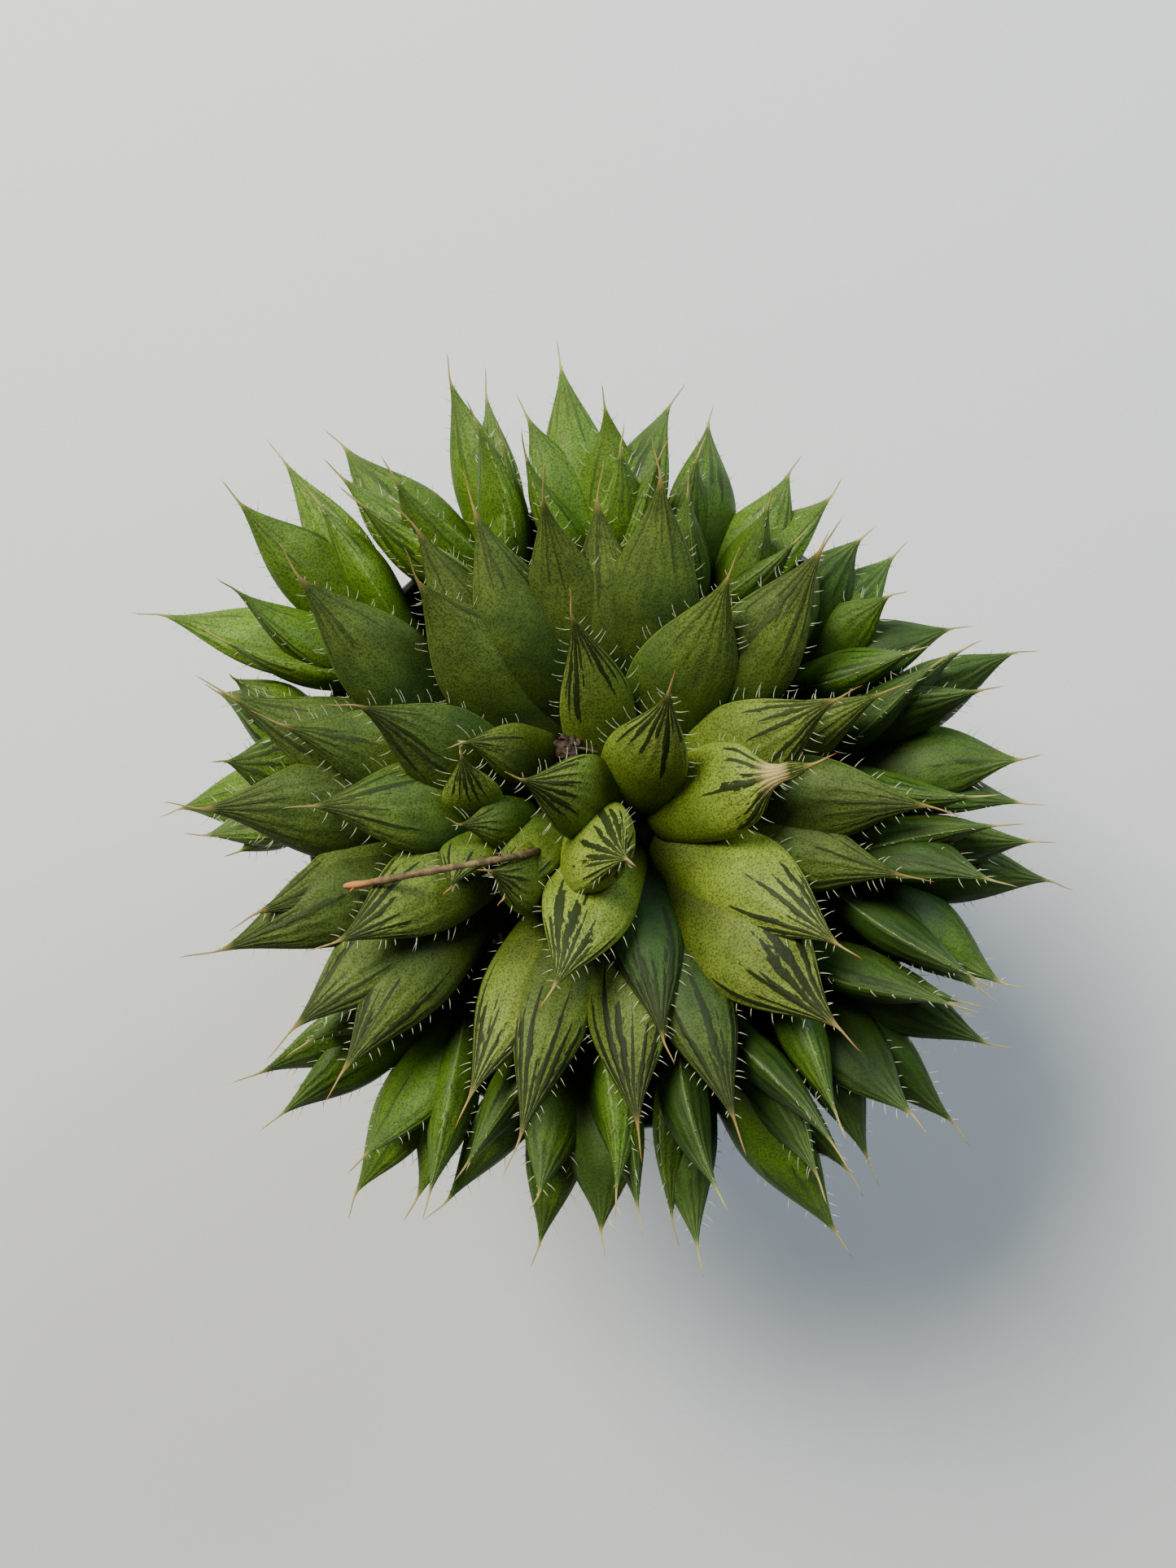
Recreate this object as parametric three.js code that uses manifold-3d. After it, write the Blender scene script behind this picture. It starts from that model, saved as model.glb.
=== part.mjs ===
// Potted Haworthia cooperi: a clump of plump, awned leaf rosettes in a round plastic nursery pot.
// Millimetres, +Z up, the origin at the centre of the pot's underside.
import * as THREE from "three";
import { mergeVertices } from "three/addons/utils/BufferGeometryUtils.js";
import Module from "manifold-3d";

const wasm = await Module();
wasm.setup();

// Clearance between neighbouring pieces
const gap = 0.3;

// Pot: tapered wall, rolled collar at the rim, a floor that is raised round its solid centre
const rimRadius = 46;
const rimHeight = 80;
const baseRadius = 33;
const wall = 1.4;
const collarHeight = 11;
const collarStep = 1.6;
const collarFlare = 1.4;
const collarDraft = 0.4;
const lipBead = 1;
const stepRise = 1.5;
const footHeight = 1.2;
const floorThickness = 1.6;
const potSides = 32;
const drainCount = 6;
const drainRadius = 4;
const drainSides = 10;
const drainCircle = 22;
const grooveWidth = 5;

// Soil: gritty, a little uneven, heaped towards the middle
const soilSideGap = 0.45;
const soilEdgeHeight = 73.5;
const soilHeap = 1.5;
const soilRipple = 0.45;
const rippleAlong = [0.31, 1.3];
const rippleAcross = [0.27, 0.4];
const rippleSlant = [0.12, 0.43, 0.6];
const soilRings = [0.3, 0.56, 0.8, 1];

// The clump: the old plant in the middle stands on a wide crown, and offsets crowd round it
const crownHeight = 83;
const crownHalfHeight = 4;
const crownHalfLength = 17;
const crownHalfWidth = 10;
const crownApex = 5;
const crownCentre = [-7.5, 0.7];
const crownSides = [10, 6];
const mainStemRadius = 6;
const stemFoot = 64;
const stemSides = 8;
const stemClearance = 0.42;

// The old plant's leaves stay above this bowl, and the offsets' leaves below it
const bowlHeight = 76;
const bowlSlope = 0.55;
const bowlStartX = -16;

// Where the old plant's leaves spring from: its growing point, its left side and a young head
const growingPoints = {
  middle: new THREE.Vector2(0.3, 0),
  heart: new THREE.Vector2(-6, -3),
  elbow: new THREE.Vector2(-9.5, -9),
  upper: new THREE.Vector2(-8, 7),
  fold: new THREE.Vector2(-11, -1.5),
  left: new THREE.Vector2(-10, 0.5),
  young: new THREE.Vector2(-19.5, -2),
};
const longestReach = 48;
const nearestRoot = 0.6;
const widestRoot = 9;
const highestRoot = 6;
const lowestRoot = -1.5;
const youngHeadHeight = 87;
const youngHeadSize = [4, 4, 6];
const youngLift = 2;
const budSides = [8, 5];

// Old plant, a leaf a row: growing point, azimuth in degrees, reach, rise of the tip, width
const mainLeaves = [
  ["heart", -30, 8.6, 30, 13.4],
  ["elbow", 173, 9, 25, 10],
  ["middle", 68, 18.3, 32, 11.6],
  ["middle", 159, 15.5, 31, 11.6],
  ["middle", 13, 27, 30, 12.8],
  ["middle", 104.6, 28.5, 30, 10.4],
  ["middle", -111, 26.5, 28, 12.6],
  ["middle", -81, 33, 21.5, 10],
  ["middle", 67, 36, 28, 14.2],
  ["middle", 29, 33.5, 27, 13.4],
  ["middle", -30, 35, 26, 13.8],
  ["middle", -46.7, 44, 21, 16.4],
  ["middle", 105.3, 45, 28, 11.6],
  ["middle", 133, 43.5, 26, 14.4],
  ["middle", 83.2, 48, 25, 12.8],
  ["middle", 51.3, 47, 24, 13],
  ["middle", -119.7, 46, 22, 11.2],
  ["middle", -89, 46, 20, 12],
  ["middle", 24, 41, 21, 10.5],
  ["middle", 3.4, 45, 19, 12.8],
  ["middle", -12, 42, 18, 12],
  ["middle", 94, 47, 18, 12],
  ["middle", 115, 50, 19, 12.6],
  ["middle", 126, 52, 18, 12],
  ["middle", -107, 52, 16, 10.6],
  ["middle", -69.4, 50, 16, 11],
  ["left", 149.3, 30, 27, 12.4],
  ["left", 160.5, 39, 24, 12.6],
  ["left", 177.6, 32.5, 26, 13],
  ["left", 137.7, 48, 24, 12.8],
  ["left", -146.4, 34.5, 26, 12.6],
  ["left", -161, 43.5, 22, 12.4],
  ["left", 180, 51, 18, 14.6],
  ["left", -155.4, 53, 17, 13],
  ["left", 161, 50, 18, 12.8],
  ["left", -138.3, 50, 17, 12.6],
  ["left", -128.4, 49, 18, 12],
  ["left", -112, 14, 20, 8.5],
  ["upper", 168, 15, 20, 8],
  ["fold", 178, 12, 19, 7.5],
  ["young", 97, 11, 22, 8],
  ["young", -110, 9, 21, 7.5],
];

// Offsets, one a row: azimuth in degrees, reach of the tips, number of leaves
const offsets = [
  [172, 66, 9],
  [145, 76.5, 10],
  [120, 72, 10],
  [94, 66.5, 10],
  [70, 60, 9],
  [40, 58, 10],
  [14, 64.5, 10],
  [-14, 67.5, 10],
  [-42, 68, 10],
  [-70, 70, 10],
  [-101, 66.5, 10],
  [-131, 72.5, 9],
];
const offsetCircle = 28;
const offsetShift = 0.5;
const offsetStretch = 1.05;
const offsetHeight = 80;
const offsetTilt = 46;
const offsetCore = 3.4;
const coreSides = [6, 4];
const offsetStemRadius = 2.4;
const offsetLeafWidth = 10.8;
const offsetAge = 0.72;
const offsetSpread = [8, 52];
const spreadPower = 0.7;
const offsetTurn = 70;
const offsetRootOut = 1.2;
const youngestLength = 0.82;
const lengthRange = [0.94, 1.04];
const widthRange = [0.82, 1.08];
const widestHalfSector = 15;
const rimClearance = 0.6;
const droopStart = 4;
const droop = 0.9;
const goldenAngle = 137.508;
const steepestOffsetLeaf = 0.78;

// Leaf form: shares of the leaf's width, and places along it from the root at 0 to the awn's tip at 1
const bodyShare = 0.9;
const widestAt = [0.36, 0.5];
const rootShare = [0.96, 0.62];
const upperBulge = 0.25;
const lowerBulge = 0.36;
const closingPower = 1.65;
const awnRadius = 0.42;
const awnTaper = [1.15, 0.35];
const leafSides = 6;
const firstHandle = 0.4;
const secondHandle = 0.3;
const tipCurl = 0.045;
const tipBow = 1.15;
const mostRoll = 12;
const mainBow = [-10, 13];
const offsetBow = 15;
const mainStations = [0, 0.09, 0.42, 0.64, 0.84, 1];
const offsetStations = [0, 0.38, 0.62, 0.84, 1];

// Settling a leaf into its own space: places looked at, number of bends, and how far a bend may go
const settleSamples = [0.16, 0.3, 0.44, 0.56, 0.68, 0.8, 0.9, 1];
const settleRounds = 160;
const settleMargin = 0.03;
const longestBend = 4;
const slimmingRounds = 32;
const slimming = 0.92;

// Teeth: the pale bristles along both margins and under the tip
const toothLength = 2;
const toothRadius = 0.42;
const toothRoot = 1;
const toothSides = 3;
const toothZone = [0.34, 0.8];
const toothScatter = [0.3, 0.7];
const toothSeed = 3.7;
const toothLean = 0.55;
const toothRise = 0.2;
const mainTeeth = 4;
const leftTeeth = 3;
const offsetTeeth = 2;

// Remains on the clump: the dry flower stalk and a scrap of dry flower
const stalkRadius = 0.6;
const stalkSides = 6;
const stalkSteps = 14;
const stalkPoints = [
  [-9, -4, 86],
  [-12.3, -5.2, 100],
  [-18, -6.2, 105.6],
  [-26, -7.6, 104.5],
  [-33, -9, 101],
  [-37, -9.6, 98.6],
];
const scrapCentre = [-6.9, 8.9, 98.9];
const scrapSize = [2.4, 1.5, 1.3];

const leafGreen = new THREE.MeshStandardMaterial({
  name: "leaf_green",
  color: 0x55752f,
  roughness: 0.4,
  metalness: 0,
});
const youngGreen = new THREE.MeshStandardMaterial({
  name: "young_green",
  color: 0x6f9a2c,
  roughness: 0.4,
  metalness: 0,
});
const potPlastic = new THREE.MeshStandardMaterial({
  name: "pot_plastic",
  color: 0x1d1b1a,
  roughness: 0.5,
  metalness: 0,
});
const soilBrown = new THREE.MeshStandardMaterial({
  name: "soil_brown",
  color: 0x43362a,
  roughness: 0.95,
  metalness: 0,
});
const dryBrown = new THREE.MeshStandardMaterial({
  name: "dry_brown",
  color: 0x8a5f37,
  roughness: 0.85,
  metalness: 0,
});

// A repeatable number between 0 and 1 for each whole number
function chance(seed) {
  const value = Math.sin(seed * 12.9898 + 4.1414) * 43758.5453;
  return value - Math.floor(value);
}

function mix(from, to, share) {
  return from + (to - from) * share;
}

function easeInOut(share) {
  const kept = Math.min(Math.max(share, 0), 1);
  return kept * kept * (3 - 2 * kept);
}

function radians(degrees) {
  return (degrees * Math.PI) / 180;
}

// A closed geometry as a solid that can be joined and cut
function solidFrom(geometry) {
  const bare = geometry.clone();
  bare.deleteAttribute("normal");
  bare.deleteAttribute("uv");
  const merged = mergeVertices(bare, 1e-4);
  return new wasm.Manifold(
    new wasm.Mesh({
      numProp: 3,
      vertProperties: new Float32Array(merged.attributes.position.array),
      triVerts: new Uint32Array(merged.index.array),
    }),
  );
}

// The largest body of a joined solid, with the hollows that joining sealed left out
function wholeBody(solid) {
  const bodies = solid.decompose();
  bodies.sort((one, other) => other.volume() - one.volume());
  return bodies[0];
}

function meshFrom(solid, name, material) {
  const raw = solid.getMesh();
  const geometry = new THREE.BufferGeometry();
  const positions = new Float32Array(raw.vertProperties);
  geometry.setAttribute("position", new THREE.BufferAttribute(positions, 3));
  geometry.setIndex(new THREE.BufferAttribute(new Uint32Array(raw.triVerts), 1));
  geometry.computeVertexNormals();
  const mesh = new THREE.Mesh(geometry, material);
  mesh.name = name;
  return mesh;
}

// A solid of revolution about +Z from a list of [radius, height] points
function turned(profile, sides) {
  const outline = profile.map(([radius, height]) => new THREE.Vector2(radius, height));
  const geometry = new THREE.LatheGeometry(outline, sides);
  geometry.rotateX(Math.PI / 2);
  return geometry;
}

// How wide and thick a leaf is at a place along it
function leafForm(leaf, along) {
  const body = Math.min(along / bodyShare, 1);
  const swell = mix(leaf.rootShare, 1, easeInOut(body / leaf.widestAt));
  const taper = Math.max((body - leaf.widestAt) / (1 - leaf.widestAt), 0);
  const closing = Math.cos((Math.min(taper, 1) * Math.PI) / 2) ** closingPower;
  const outline = swell * closing * leaf.width;
  const awn = awnRadius * mix(awnTaper[0], awnTaper[1], along);
  return {
    half: Math.hypot(outline / 2, awn),
    upper: Math.hypot(outline * upperBulge, awn),
    lower: Math.hypot(outline * lowerBulge, awn),
  };
}

// The leaf's centre line, with its across and upward directions, at a place along it
function leafFrame(leaf, along) {
  const line = new THREE.CubicBezierCurve3(...leaf.points);
  const centre = line.getPoint(along);
  const forward = line.getTangent(along);
  const across = leaf.across.clone().addScaledVector(forward, -leaf.across.dot(forward));
  across.normalize();
  const upward = forward.clone().cross(across);
  return { centre, forward, across, upward };
}

// A point of the leaf's surface: around is 0 at one margin, a quarter turn above, half a turn at the other
function leafPoint(leaf, along, around) {
  const form = leafForm(leaf, along);
  const frame = leafFrame(leaf, along);
  const lift = Math.sin(around) * (Math.sin(around) > 0 ? form.upper : form.lower);
  const point = frame.centre.clone();
  point.addScaledVector(frame.across, Math.cos(around) * form.half);
  return point.addScaledVector(frame.upward, lift);
}

// A sphere drawn out along the leaf's centre line
function leafSolid(leaf, stations) {
  const last = stations.length - 1;
  const geometry = new THREE.SphereGeometry(1, leafSides, last);
  const { position, uv } = geometry.attributes;
  const root = leaf.points[0];
  const tip = leaf.points[3];
  for (let index = 0; index < position.count; index += 1) {
    const station = Math.round((1 - uv.getY(index)) * last);
    const around = (1 - uv.getX(index)) * 2 * Math.PI;
    let point = leafPoint(leaf, stations[station], around);
    if (station === 0) point = root;
    if (station === last) point = tip;
    position.setXYZ(index, point.x, point.y, point.z);
  }
  return solidFrom(geometry);
}

// A leaf from its root to its tip, bowed so that it first spreads and then rises.
// Its age is 0 for a young upright leaf, broad from its root, and 1 for an old spreading one.
function makeLeaf(root, tip, width, bow, across, age, seed) {
  const run = tip.clone().sub(root);
  const length = run.length();
  const side = across.clone().normalize();
  const outDirection = run.clone().normalize().applyAxisAngle(side, bow);
  const tipDirection = run.clone().normalize().applyAxisAngle(side, -bow * tipBow);
  const curl = mix(-tipCurl, tipCurl, chance(seed)) * length;
  const first = root.clone().addScaledVector(outDirection, length * firstHandle);
  const second = tip.clone().addScaledVector(tipDirection, -length * secondHandle);
  const end = tip.clone().addScaledVector(side, curl);
  const roll = radians(mix(-mostRoll, mostRoll, chance(seed + 0.5)));
  const rolled = side.clone().applyAxisAngle(run.clone().normalize(), roll);
  return {
    points: [root, first, second, end],
    width,
    across: rolled,
    seed,
    widestAt: mix(widestAt[0], widestAt[1], age),
    rootShare: mix(rootShare[0], rootShare[1], age),
  };
}

// Bends a leaf until every sampled point of it keeps clear of the walls of its own space
function settleLeaf(leaf, walls) {
  for (let round = 0; round < settleRounds; round += 1) {
    let worst = { depth: 0 };
    for (const along of settleSamples) {
      for (let corner = 0; corner < leafSides; corner += 1) {
        const point = leafPoint(leaf, along, (corner * 2 * Math.PI) / leafSides);
        for (const wallAt of walls) {
          const { depth, push } = wallAt(point);
          if (depth > worst.depth) worst = { depth, push, along };
        }
      }
    }
    if (worst.depth <= 0) return true;
    const rest = 1 - worst.along;
    const pulls = [
      3 * rest * rest * worst.along,
      3 * rest * worst.along ** 2,
      worst.along ** 3,
    ];
    const total = pulls.reduce((sum, pull) => sum + pull * pull, 0);
    pulls.forEach((pull, index) => {
      const step = ((worst.depth + settleMargin) * pull) / total;
      leaf.points[index + 1].addScaledVector(worst.push, Math.min(step, longestBend));
    });
    if ((round + 1) % slimmingRounds === 0) leaf.width *= slimming;
  }
  return false;
}

// The bowl between the old plant and the offsets, seen from above it
function aboveBowl(point) {
  const nearestX = Math.min(Math.max(point.x, bowlStartX), 0);
  const away = new THREE.Vector2(point.x - nearestX, point.y);
  const distance = away.length();
  const steepness = Math.hypot(1, bowlSlope);
  const depth = (bowlHeight + gap / 2 + bowlSlope * distance - point.z) / steepness;
  const inward = distance > 0 ? away.multiplyScalar(-bowlSlope / distance) : away;
  const push = new THREE.Vector3(inward.x, inward.y, 1).divideScalar(steepness);
  return { depth, push };
}

// A flat wall: points further along its normal than its reach lie outside
function flatWall(normal, reach) {
  const push = normal.clone().negate();
  return (point) => ({ depth: point.dot(normal) - reach, push });
}

// Where an offset stands: further out on the left, where the bowl reaches further
function offsetPlace(azimuth) {
  const angle = radians(azimuth);
  const outward = new THREE.Vector3(Math.cos(angle), Math.sin(angle), 0);
  const shift = Math.max(0, bowlStartX * outward.x) * offsetShift;
  return outward.multiplyScalar(offsetCircle + shift);
}

// An offset's own space: between its neighbours, under the bowl, over the rim and clear of the middle
function offsetWalls(outward, before, after) {
  const walls = [];
  for (const [edge, sign] of [
    [before, 1],
    [after, -1],
  ]) {
    const angle = radians(edge);
    const normal = new THREE.Vector3(-Math.sin(angle), Math.cos(angle), 0);
    walls.push(flatWall(normal.multiplyScalar(sign), -gap / 2 - settleMargin));
  }
  const steepness = Math.hypot(1, bowlSlope);
  const support = Math.max(0, bowlStartX * outward.x);
  const roof = new THREE.Vector3(-outward.x * bowlSlope, -outward.y * bowlSlope, 1);
  const roofReach = (bowlHeight - bowlSlope * support - gap / 2) / steepness;
  walls.push(flatWall(roof.divideScalar(steepness), roofReach));
  walls.push(flatWall(outward.clone().negate(), -offsetCircle / 2));
  const up = new THREE.Vector3(0, 0, 1);
  walls.push((point) => {
    const past = Math.max(Math.hypot(point.x, point.y) - rimRadius - droopStart, 0);
    return { depth: rimHeight + rimClearance - droop * past - point.z, push: up };
  });
  return walls;
}

// A three-sided spine that stands on a leaf's margin and leans towards the leaf's tip
function toothSolid(base, direction) {
  const height = toothLength + toothRoot;
  const geometry = new THREE.ConeGeometry(toothRadius, height, toothSides);
  geometry.translate(0, height / 2 - toothRoot, 0);
  const turn = new THREE.Quaternion();
  turn.setFromUnitVectors(new THREE.Vector3(0, 1, 0), direction);
  geometry.applyQuaternion(turn);
  geometry.translate(base.x, base.y, base.z);
  return solidFrom(geometry);
}

// The places of a leaf's teeth: along, and around as 0 or half a turn for the margins
function toothPlaces(leaf, count) {
  const places = [];
  for (let index = 0; index < count; index += 1) {
    const drawn = chance(leaf.seed * toothSeed + index);
    const share = (index + mix(toothScatter[0], toothScatter[1], drawn)) / count;
    const along = mix(toothZone[0], toothZone[1], share);
    places.push({ along, around: index % 2 === 0 ? 0 : Math.PI });
  }
  return places;
}

// The teeth of a leaf that fit inside the walls of its space
function leafTeeth(leaf, count, walls) {
  const teeth = [];
  for (const { along, around } of toothPlaces(leaf, count)) {
    const frame = leafFrame(leaf, along);
    const base = leafPoint(leaf, along, around);
    const direction = frame.across.clone().multiplyScalar(Math.cos(around));
    direction.addScaledVector(frame.forward, toothLean);
    direction.addScaledVector(frame.upward, toothRise).normalize();
    const end = base.clone().addScaledVector(direction, toothLength + toothRadius);
    const free = walls.every((wallAt) => wallAt(end).depth <= 0);
    if (free) teeth.push(toothSolid(base, direction));
  }
  return teeth;
}

// The pot: a turned shell with drain holes and short grooves that lead them out under the floor
function makePot() {
  const shoulder = rimHeight - collarHeight;
  const slope = (rimRadius - collarStep - baseRadius) / shoulder;
  const bodyTop = rimRadius - collarStep;
  const floorTop = footHeight + floorThickness;
  const profile = [
    [0, 0],
    [baseRadius - footHeight, 0],
    [baseRadius, footHeight],
    [bodyTop, shoulder - stepRise],
    [rimRadius - collarDraft, shoulder],
    [rimRadius, shoulder + collarFlare],
    [rimRadius, rimHeight - lipBead],
    [rimRadius - lipBead / 2, rimHeight],
    [rimRadius - wall, rimHeight],
    [rimRadius - wall - collarDraft, shoulder + collarFlare],
    [bodyTop - wall - collarDraft, shoulder - stepRise],
    [baseRadius + slope * floorTop - wall, floorTop],
    [0, floorTop],
  ];
  let pot = solidFrom(turned(profile, potSides));
  for (let index = 0; index < drainCount; index += 1) {
    const angle = (index / drainCount) * 2 * Math.PI;
    const drain = new THREE.CylinderGeometry(drainRadius, drainRadius, floorTop * 4, drainSides);
    drain.rotateX(Math.PI / 2);
    drain.translate(drainCircle, 0, 0);
    drain.rotateZ(angle);
    const groove = new THREE.BoxGeometry(baseRadius, grooveWidth, footHeight * 2);
    groove.translate(drainCircle + baseRadius / 2, 0, 0);
    groove.rotateZ(angle);
    pot = pot.subtract(solidFrom(drain)).subtract(solidFrom(groove));
  }
  return pot;
}

// The soil's height at a place, from a few crossed ripples over a gentle heap
function soilHeight(x, y) {
  const radius = Math.hypot(x, y) / rimRadius;
  const along = Math.sin(x * rippleAlong[0] + rippleAlong[1]);
  const across = Math.cos(y * rippleAcross[0] - rippleAcross[1]);
  const slant = rippleSlant[2] * Math.sin(x * rippleSlant[0] - y * rippleSlant[1]);
  const ripples = along * across + slant;
  return soilEdgeHeight + soilHeap * (1 - radius * radius) + soilRipple * ripples;
}

// The soil: it fills the pot a little short of the wall, with a plain hole for each stem
function makeSoil(stems) {
  const shoulder = rimHeight - collarHeight;
  const floorTop = footHeight + floorThickness;
  const slope = (rimRadius - collarStep - baseRadius) / shoulder;
  const bottomRadius = baseRadius + slope * floorTop - wall - soilSideGap;
  const neckRadius = rimRadius - collarStep - wall - collarDraft - soilSideGap;
  const topRadius = rimRadius - wall - collarDraft - soilSideGap;
  const profile = [
    [0, floorTop + gap],
    [bottomRadius, floorTop + gap],
    [neckRadius, shoulder - stepRise - gap],
    [topRadius, shoulder + collarFlare],
  ];
  for (const share of [...soilRings].reverse()) profile.push([topRadius * share, soilEdgeHeight]);
  profile.push([0, soilEdgeHeight]);
  const geometry = turned(profile, potSides);
  const { position } = geometry.attributes;
  for (let index = 0; index < position.count; index += 1) {
    if (position.getZ(index) < soilEdgeHeight - gap) continue;
    position.setZ(index, soilHeight(position.getX(index), position.getY(index)));
  }
  let soil = solidFrom(geometry);
  for (const { x, y, radius } of stems) {
    const holeRadius = radius + stemClearance;
    const hole = new THREE.CylinderGeometry(holeRadius, holeRadius, rimHeight, stemSides);
    hole.rotateX(Math.PI / 2);
    hole.translate(x, y, stemFoot - gap + rimHeight / 2);
    soil = soil.subtract(solidFrom(hole));
  }
  return soil;
}

// A stem that stands in the soil, turned like the hole that it stands in
function stemSolid(x, y, radius, top) {
  const profile = [
    [0, stemFoot],
    [radius, stemFoot],
    [radius, top - radius / 2],
    [0, top],
  ];
  const geometry = turned(profile, stemSides);
  geometry.translate(x, y, 0);
  return solidFrom(geometry);
}

function ellipsoidSolid(centre, size, widthSides, heightSides) {
  const geometry = new THREE.SphereGeometry(1, widthSides, heightSides);
  geometry.scale(size[0], size[1], size[2]);
  geometry.translate(centre[0], centre[1], centre[2]);
  return solidFrom(geometry);
}

function sum(solids) {
  return solids.reduce((whole, next) => whole.add(next));
}

// The old plant: a wide crown with its hand-placed leaves and a young head on its left
function makeMainRosette() {
  const walls = [aboveBowl];
  const pieces = [stemSolid(0, 0, mainStemRadius, crownHeight + crownApex)];
  const crownSize = [crownHalfLength, crownHalfWidth, crownHalfHeight];
  pieces.push(ellipsoidSolid([...crownCentre, crownHeight], crownSize, ...crownSides));
  const { x: youngX, y: youngY } = growingPoints.young;
  pieces.push(ellipsoidSolid([youngX, youngY, youngHeadHeight], youngHeadSize, ...budSides));
  mainLeaves.forEach(([place, azimuth, reach, rise, width], index) => {
    const angle = radians(azimuth);
    const outward = new THREE.Vector3(Math.cos(angle), Math.sin(angle), 0);
    const across = new THREE.Vector3(-outward.y, outward.x, 0);
    const point = growingPoints[place];
    const centre = new THREE.Vector3(point.x, point.y, crownHeight);
    const age = Math.min(reach / longestReach, 1) ** 2;
    const root = centre.clone().addScaledVector(outward, mix(nearestRoot, widestRoot, age));
    root.z += mix(highestRoot, lowestRoot, age) + (place === "young" ? youngLift : 0);
    const tip = centre.clone().addScaledVector(outward, reach);
    tip.z += rise;
    const bow = radians(mix(mainBow[0], mainBow[1], age));
    const leaf = makeLeaf(root, tip, width, bow, across, age, index + 1);
    settleLeaf(leaf, walls);
    pieces.push(leafSolid(leaf, mainStations));
    pieces.push(...leafTeeth(leaf, place === "middle" ? mainTeeth : leftTeeth, walls));
  });
  return wholeBody(sum(pieces));
}

// An offset: leaves by the golden angle round an axis that leans outwards
function makeOffset(index) {
  const [azimuth, reach, leafCount] = offsets[index];
  const angle = radians(azimuth);
  const outward = new THREE.Vector3(Math.cos(angle), Math.sin(angle), 0);
  const sideways = new THREE.Vector3(-outward.y, outward.x, 0);
  const { before, after } = sectorEdges(index);
  const walls = offsetWalls(outward, before, after);
  const tilt = radians(offsetTilt);
  const axis = outward.clone().multiplyScalar(Math.sin(tilt));
  axis.z = Math.cos(tilt);
  const downward = outward.clone().multiplyScalar(Math.cos(tilt));
  downward.z = -Math.sin(tilt);
  const heart = offsetPlace(azimuth);
  heart.z = offsetHeight;
  const pieces = [stemSolid(heart.x, heart.y, offsetStemRadius, offsetHeight + 1)];
  const core = [offsetCore, offsetCore, offsetCore];
  pieces.push(ellipsoidSolid([heart.x, heart.y, heart.z], core, ...coreSides));
  for (let place = 0; place < leafCount; place += 1) {
    const seed = 100 * (index + 1) + place;
    const share = place / (leafCount - 1);
    const spread = radians(mix(offsetSpread[0], offsetSpread[1], share ** spreadPower));
    const turn = radians(goldenAngle * place + offsetTurn * index);
    const direction = axis.clone().multiplyScalar(Math.cos(spread));
    direction.addScaledVector(downward, Math.cos(turn) * Math.sin(spread));
    direction.addScaledVector(sideways, Math.sin(turn) * Math.sin(spread));
    if (direction.z > steepestOffsetLeaf) continue;
    const longest = (reach - Math.hypot(heart.x, heart.y)) * offsetStretch;
    const growth = mix(youngestLength, 1, share);
    const length = longest * growth * mix(lengthRange[0], lengthRange[1], chance(seed + 0.25));
    const root = heart.clone().addScaledVector(direction, offsetRootOut);
    const tip = heart.clone().addScaledVector(direction, length);
    const across = axis.clone().cross(direction).normalize();
    const width = offsetLeafWidth * mix(widthRange[0], widthRange[1], chance(seed + 0.75));
    const leaf = makeLeaf(root, tip, width, radians(offsetBow), across, offsetAge, seed);
    if (!settleLeaf(leaf, walls)) continue;
    pieces.push(leafSolid(leaf, offsetStations));
    pieces.push(...leafTeeth(leaf, offsetTeeth, walls));
  }
  return wholeBody(sum(pieces));
}

// The angles at which an offset's space meets its neighbours'
function sectorEdges(index) {
  const own = offsets[index][0];
  const others = offsets.map(([azimuth]) => azimuth).filter((azimuth) => azimuth !== own);
  const turns = others.map((azimuth) => ((azimuth - own + 540) % 360) - 180);
  const left = Math.min(...turns.filter((turn) => turn > 0)) / 2;
  const right = Math.max(...turns.filter((turn) => turn < 0)) / 2;
  return {
    after: own - Math.min(-right, widestHalfSector),
    before: own + Math.min(left, widestHalfSector),
  };
}

// The dry flower stalk that lies over the leaves, or with extra the space it needs
function stalkSolid(extra) {
  const route = new THREE.CatmullRomCurve3(stalkPoints.map((point) => new THREE.Vector3(...point)));
  const outline = new THREE.Shape();
  for (let corner = 0; corner < stalkSides; corner += 1) {
    const angle = (corner / stalkSides) * 2 * Math.PI;
    const x = Math.cos(angle) * (stalkRadius + extra);
    const y = Math.sin(angle) * (stalkRadius + extra);
    if (corner === 0) outline.moveTo(x, y);
    else outline.lineTo(x, y);
  }
  const geometry = new THREE.ExtrudeGeometry(outline, { steps: stalkSteps, extrudePath: route });
  return solidFrom(geometry);
}

function scrapSolid(extra) {
  return ellipsoidSolid(scrapCentre, scrapSize.map((size) => size + extra), ...budSides);
}

const plant = new THREE.Group();
plant.name = "potted_haworthia_cooperi";

const stems = offsets.map(([azimuth]) => {
  const { x, y } = offsetPlace(azimuth);
  return { x, y, radius: offsetStemRadius };
});
stems.push({ x: 0, y: 0, radius: mainStemRadius });

plant.add(meshFrom(makePot(), "pot", potPlastic));
plant.add(meshFrom(makeSoil(stems), "soil", soilBrown));

const mainRosette = makeMainRosette().subtract(stalkSolid(gap)).subtract(scrapSolid(gap));
plant.add(meshFrom(wholeBody(mainRosette), "rosette_main", leafGreen));
offsets.forEach((row, index) => {
  plant.add(meshFrom(makeOffset(index), `rosette_offset_${index + 1}`, youngGreen));
});
plant.add(meshFrom(stalkSolid(0), "dry_flower_stalk", dryBrown));
plant.add(meshFrom(scrapSolid(0), "dry_flower_scrap", dryBrown));

export default plant;
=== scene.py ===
import math

import bmesh
import bpy
import numpy as np
from mathutils import Matrix, Vector, noise


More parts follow.
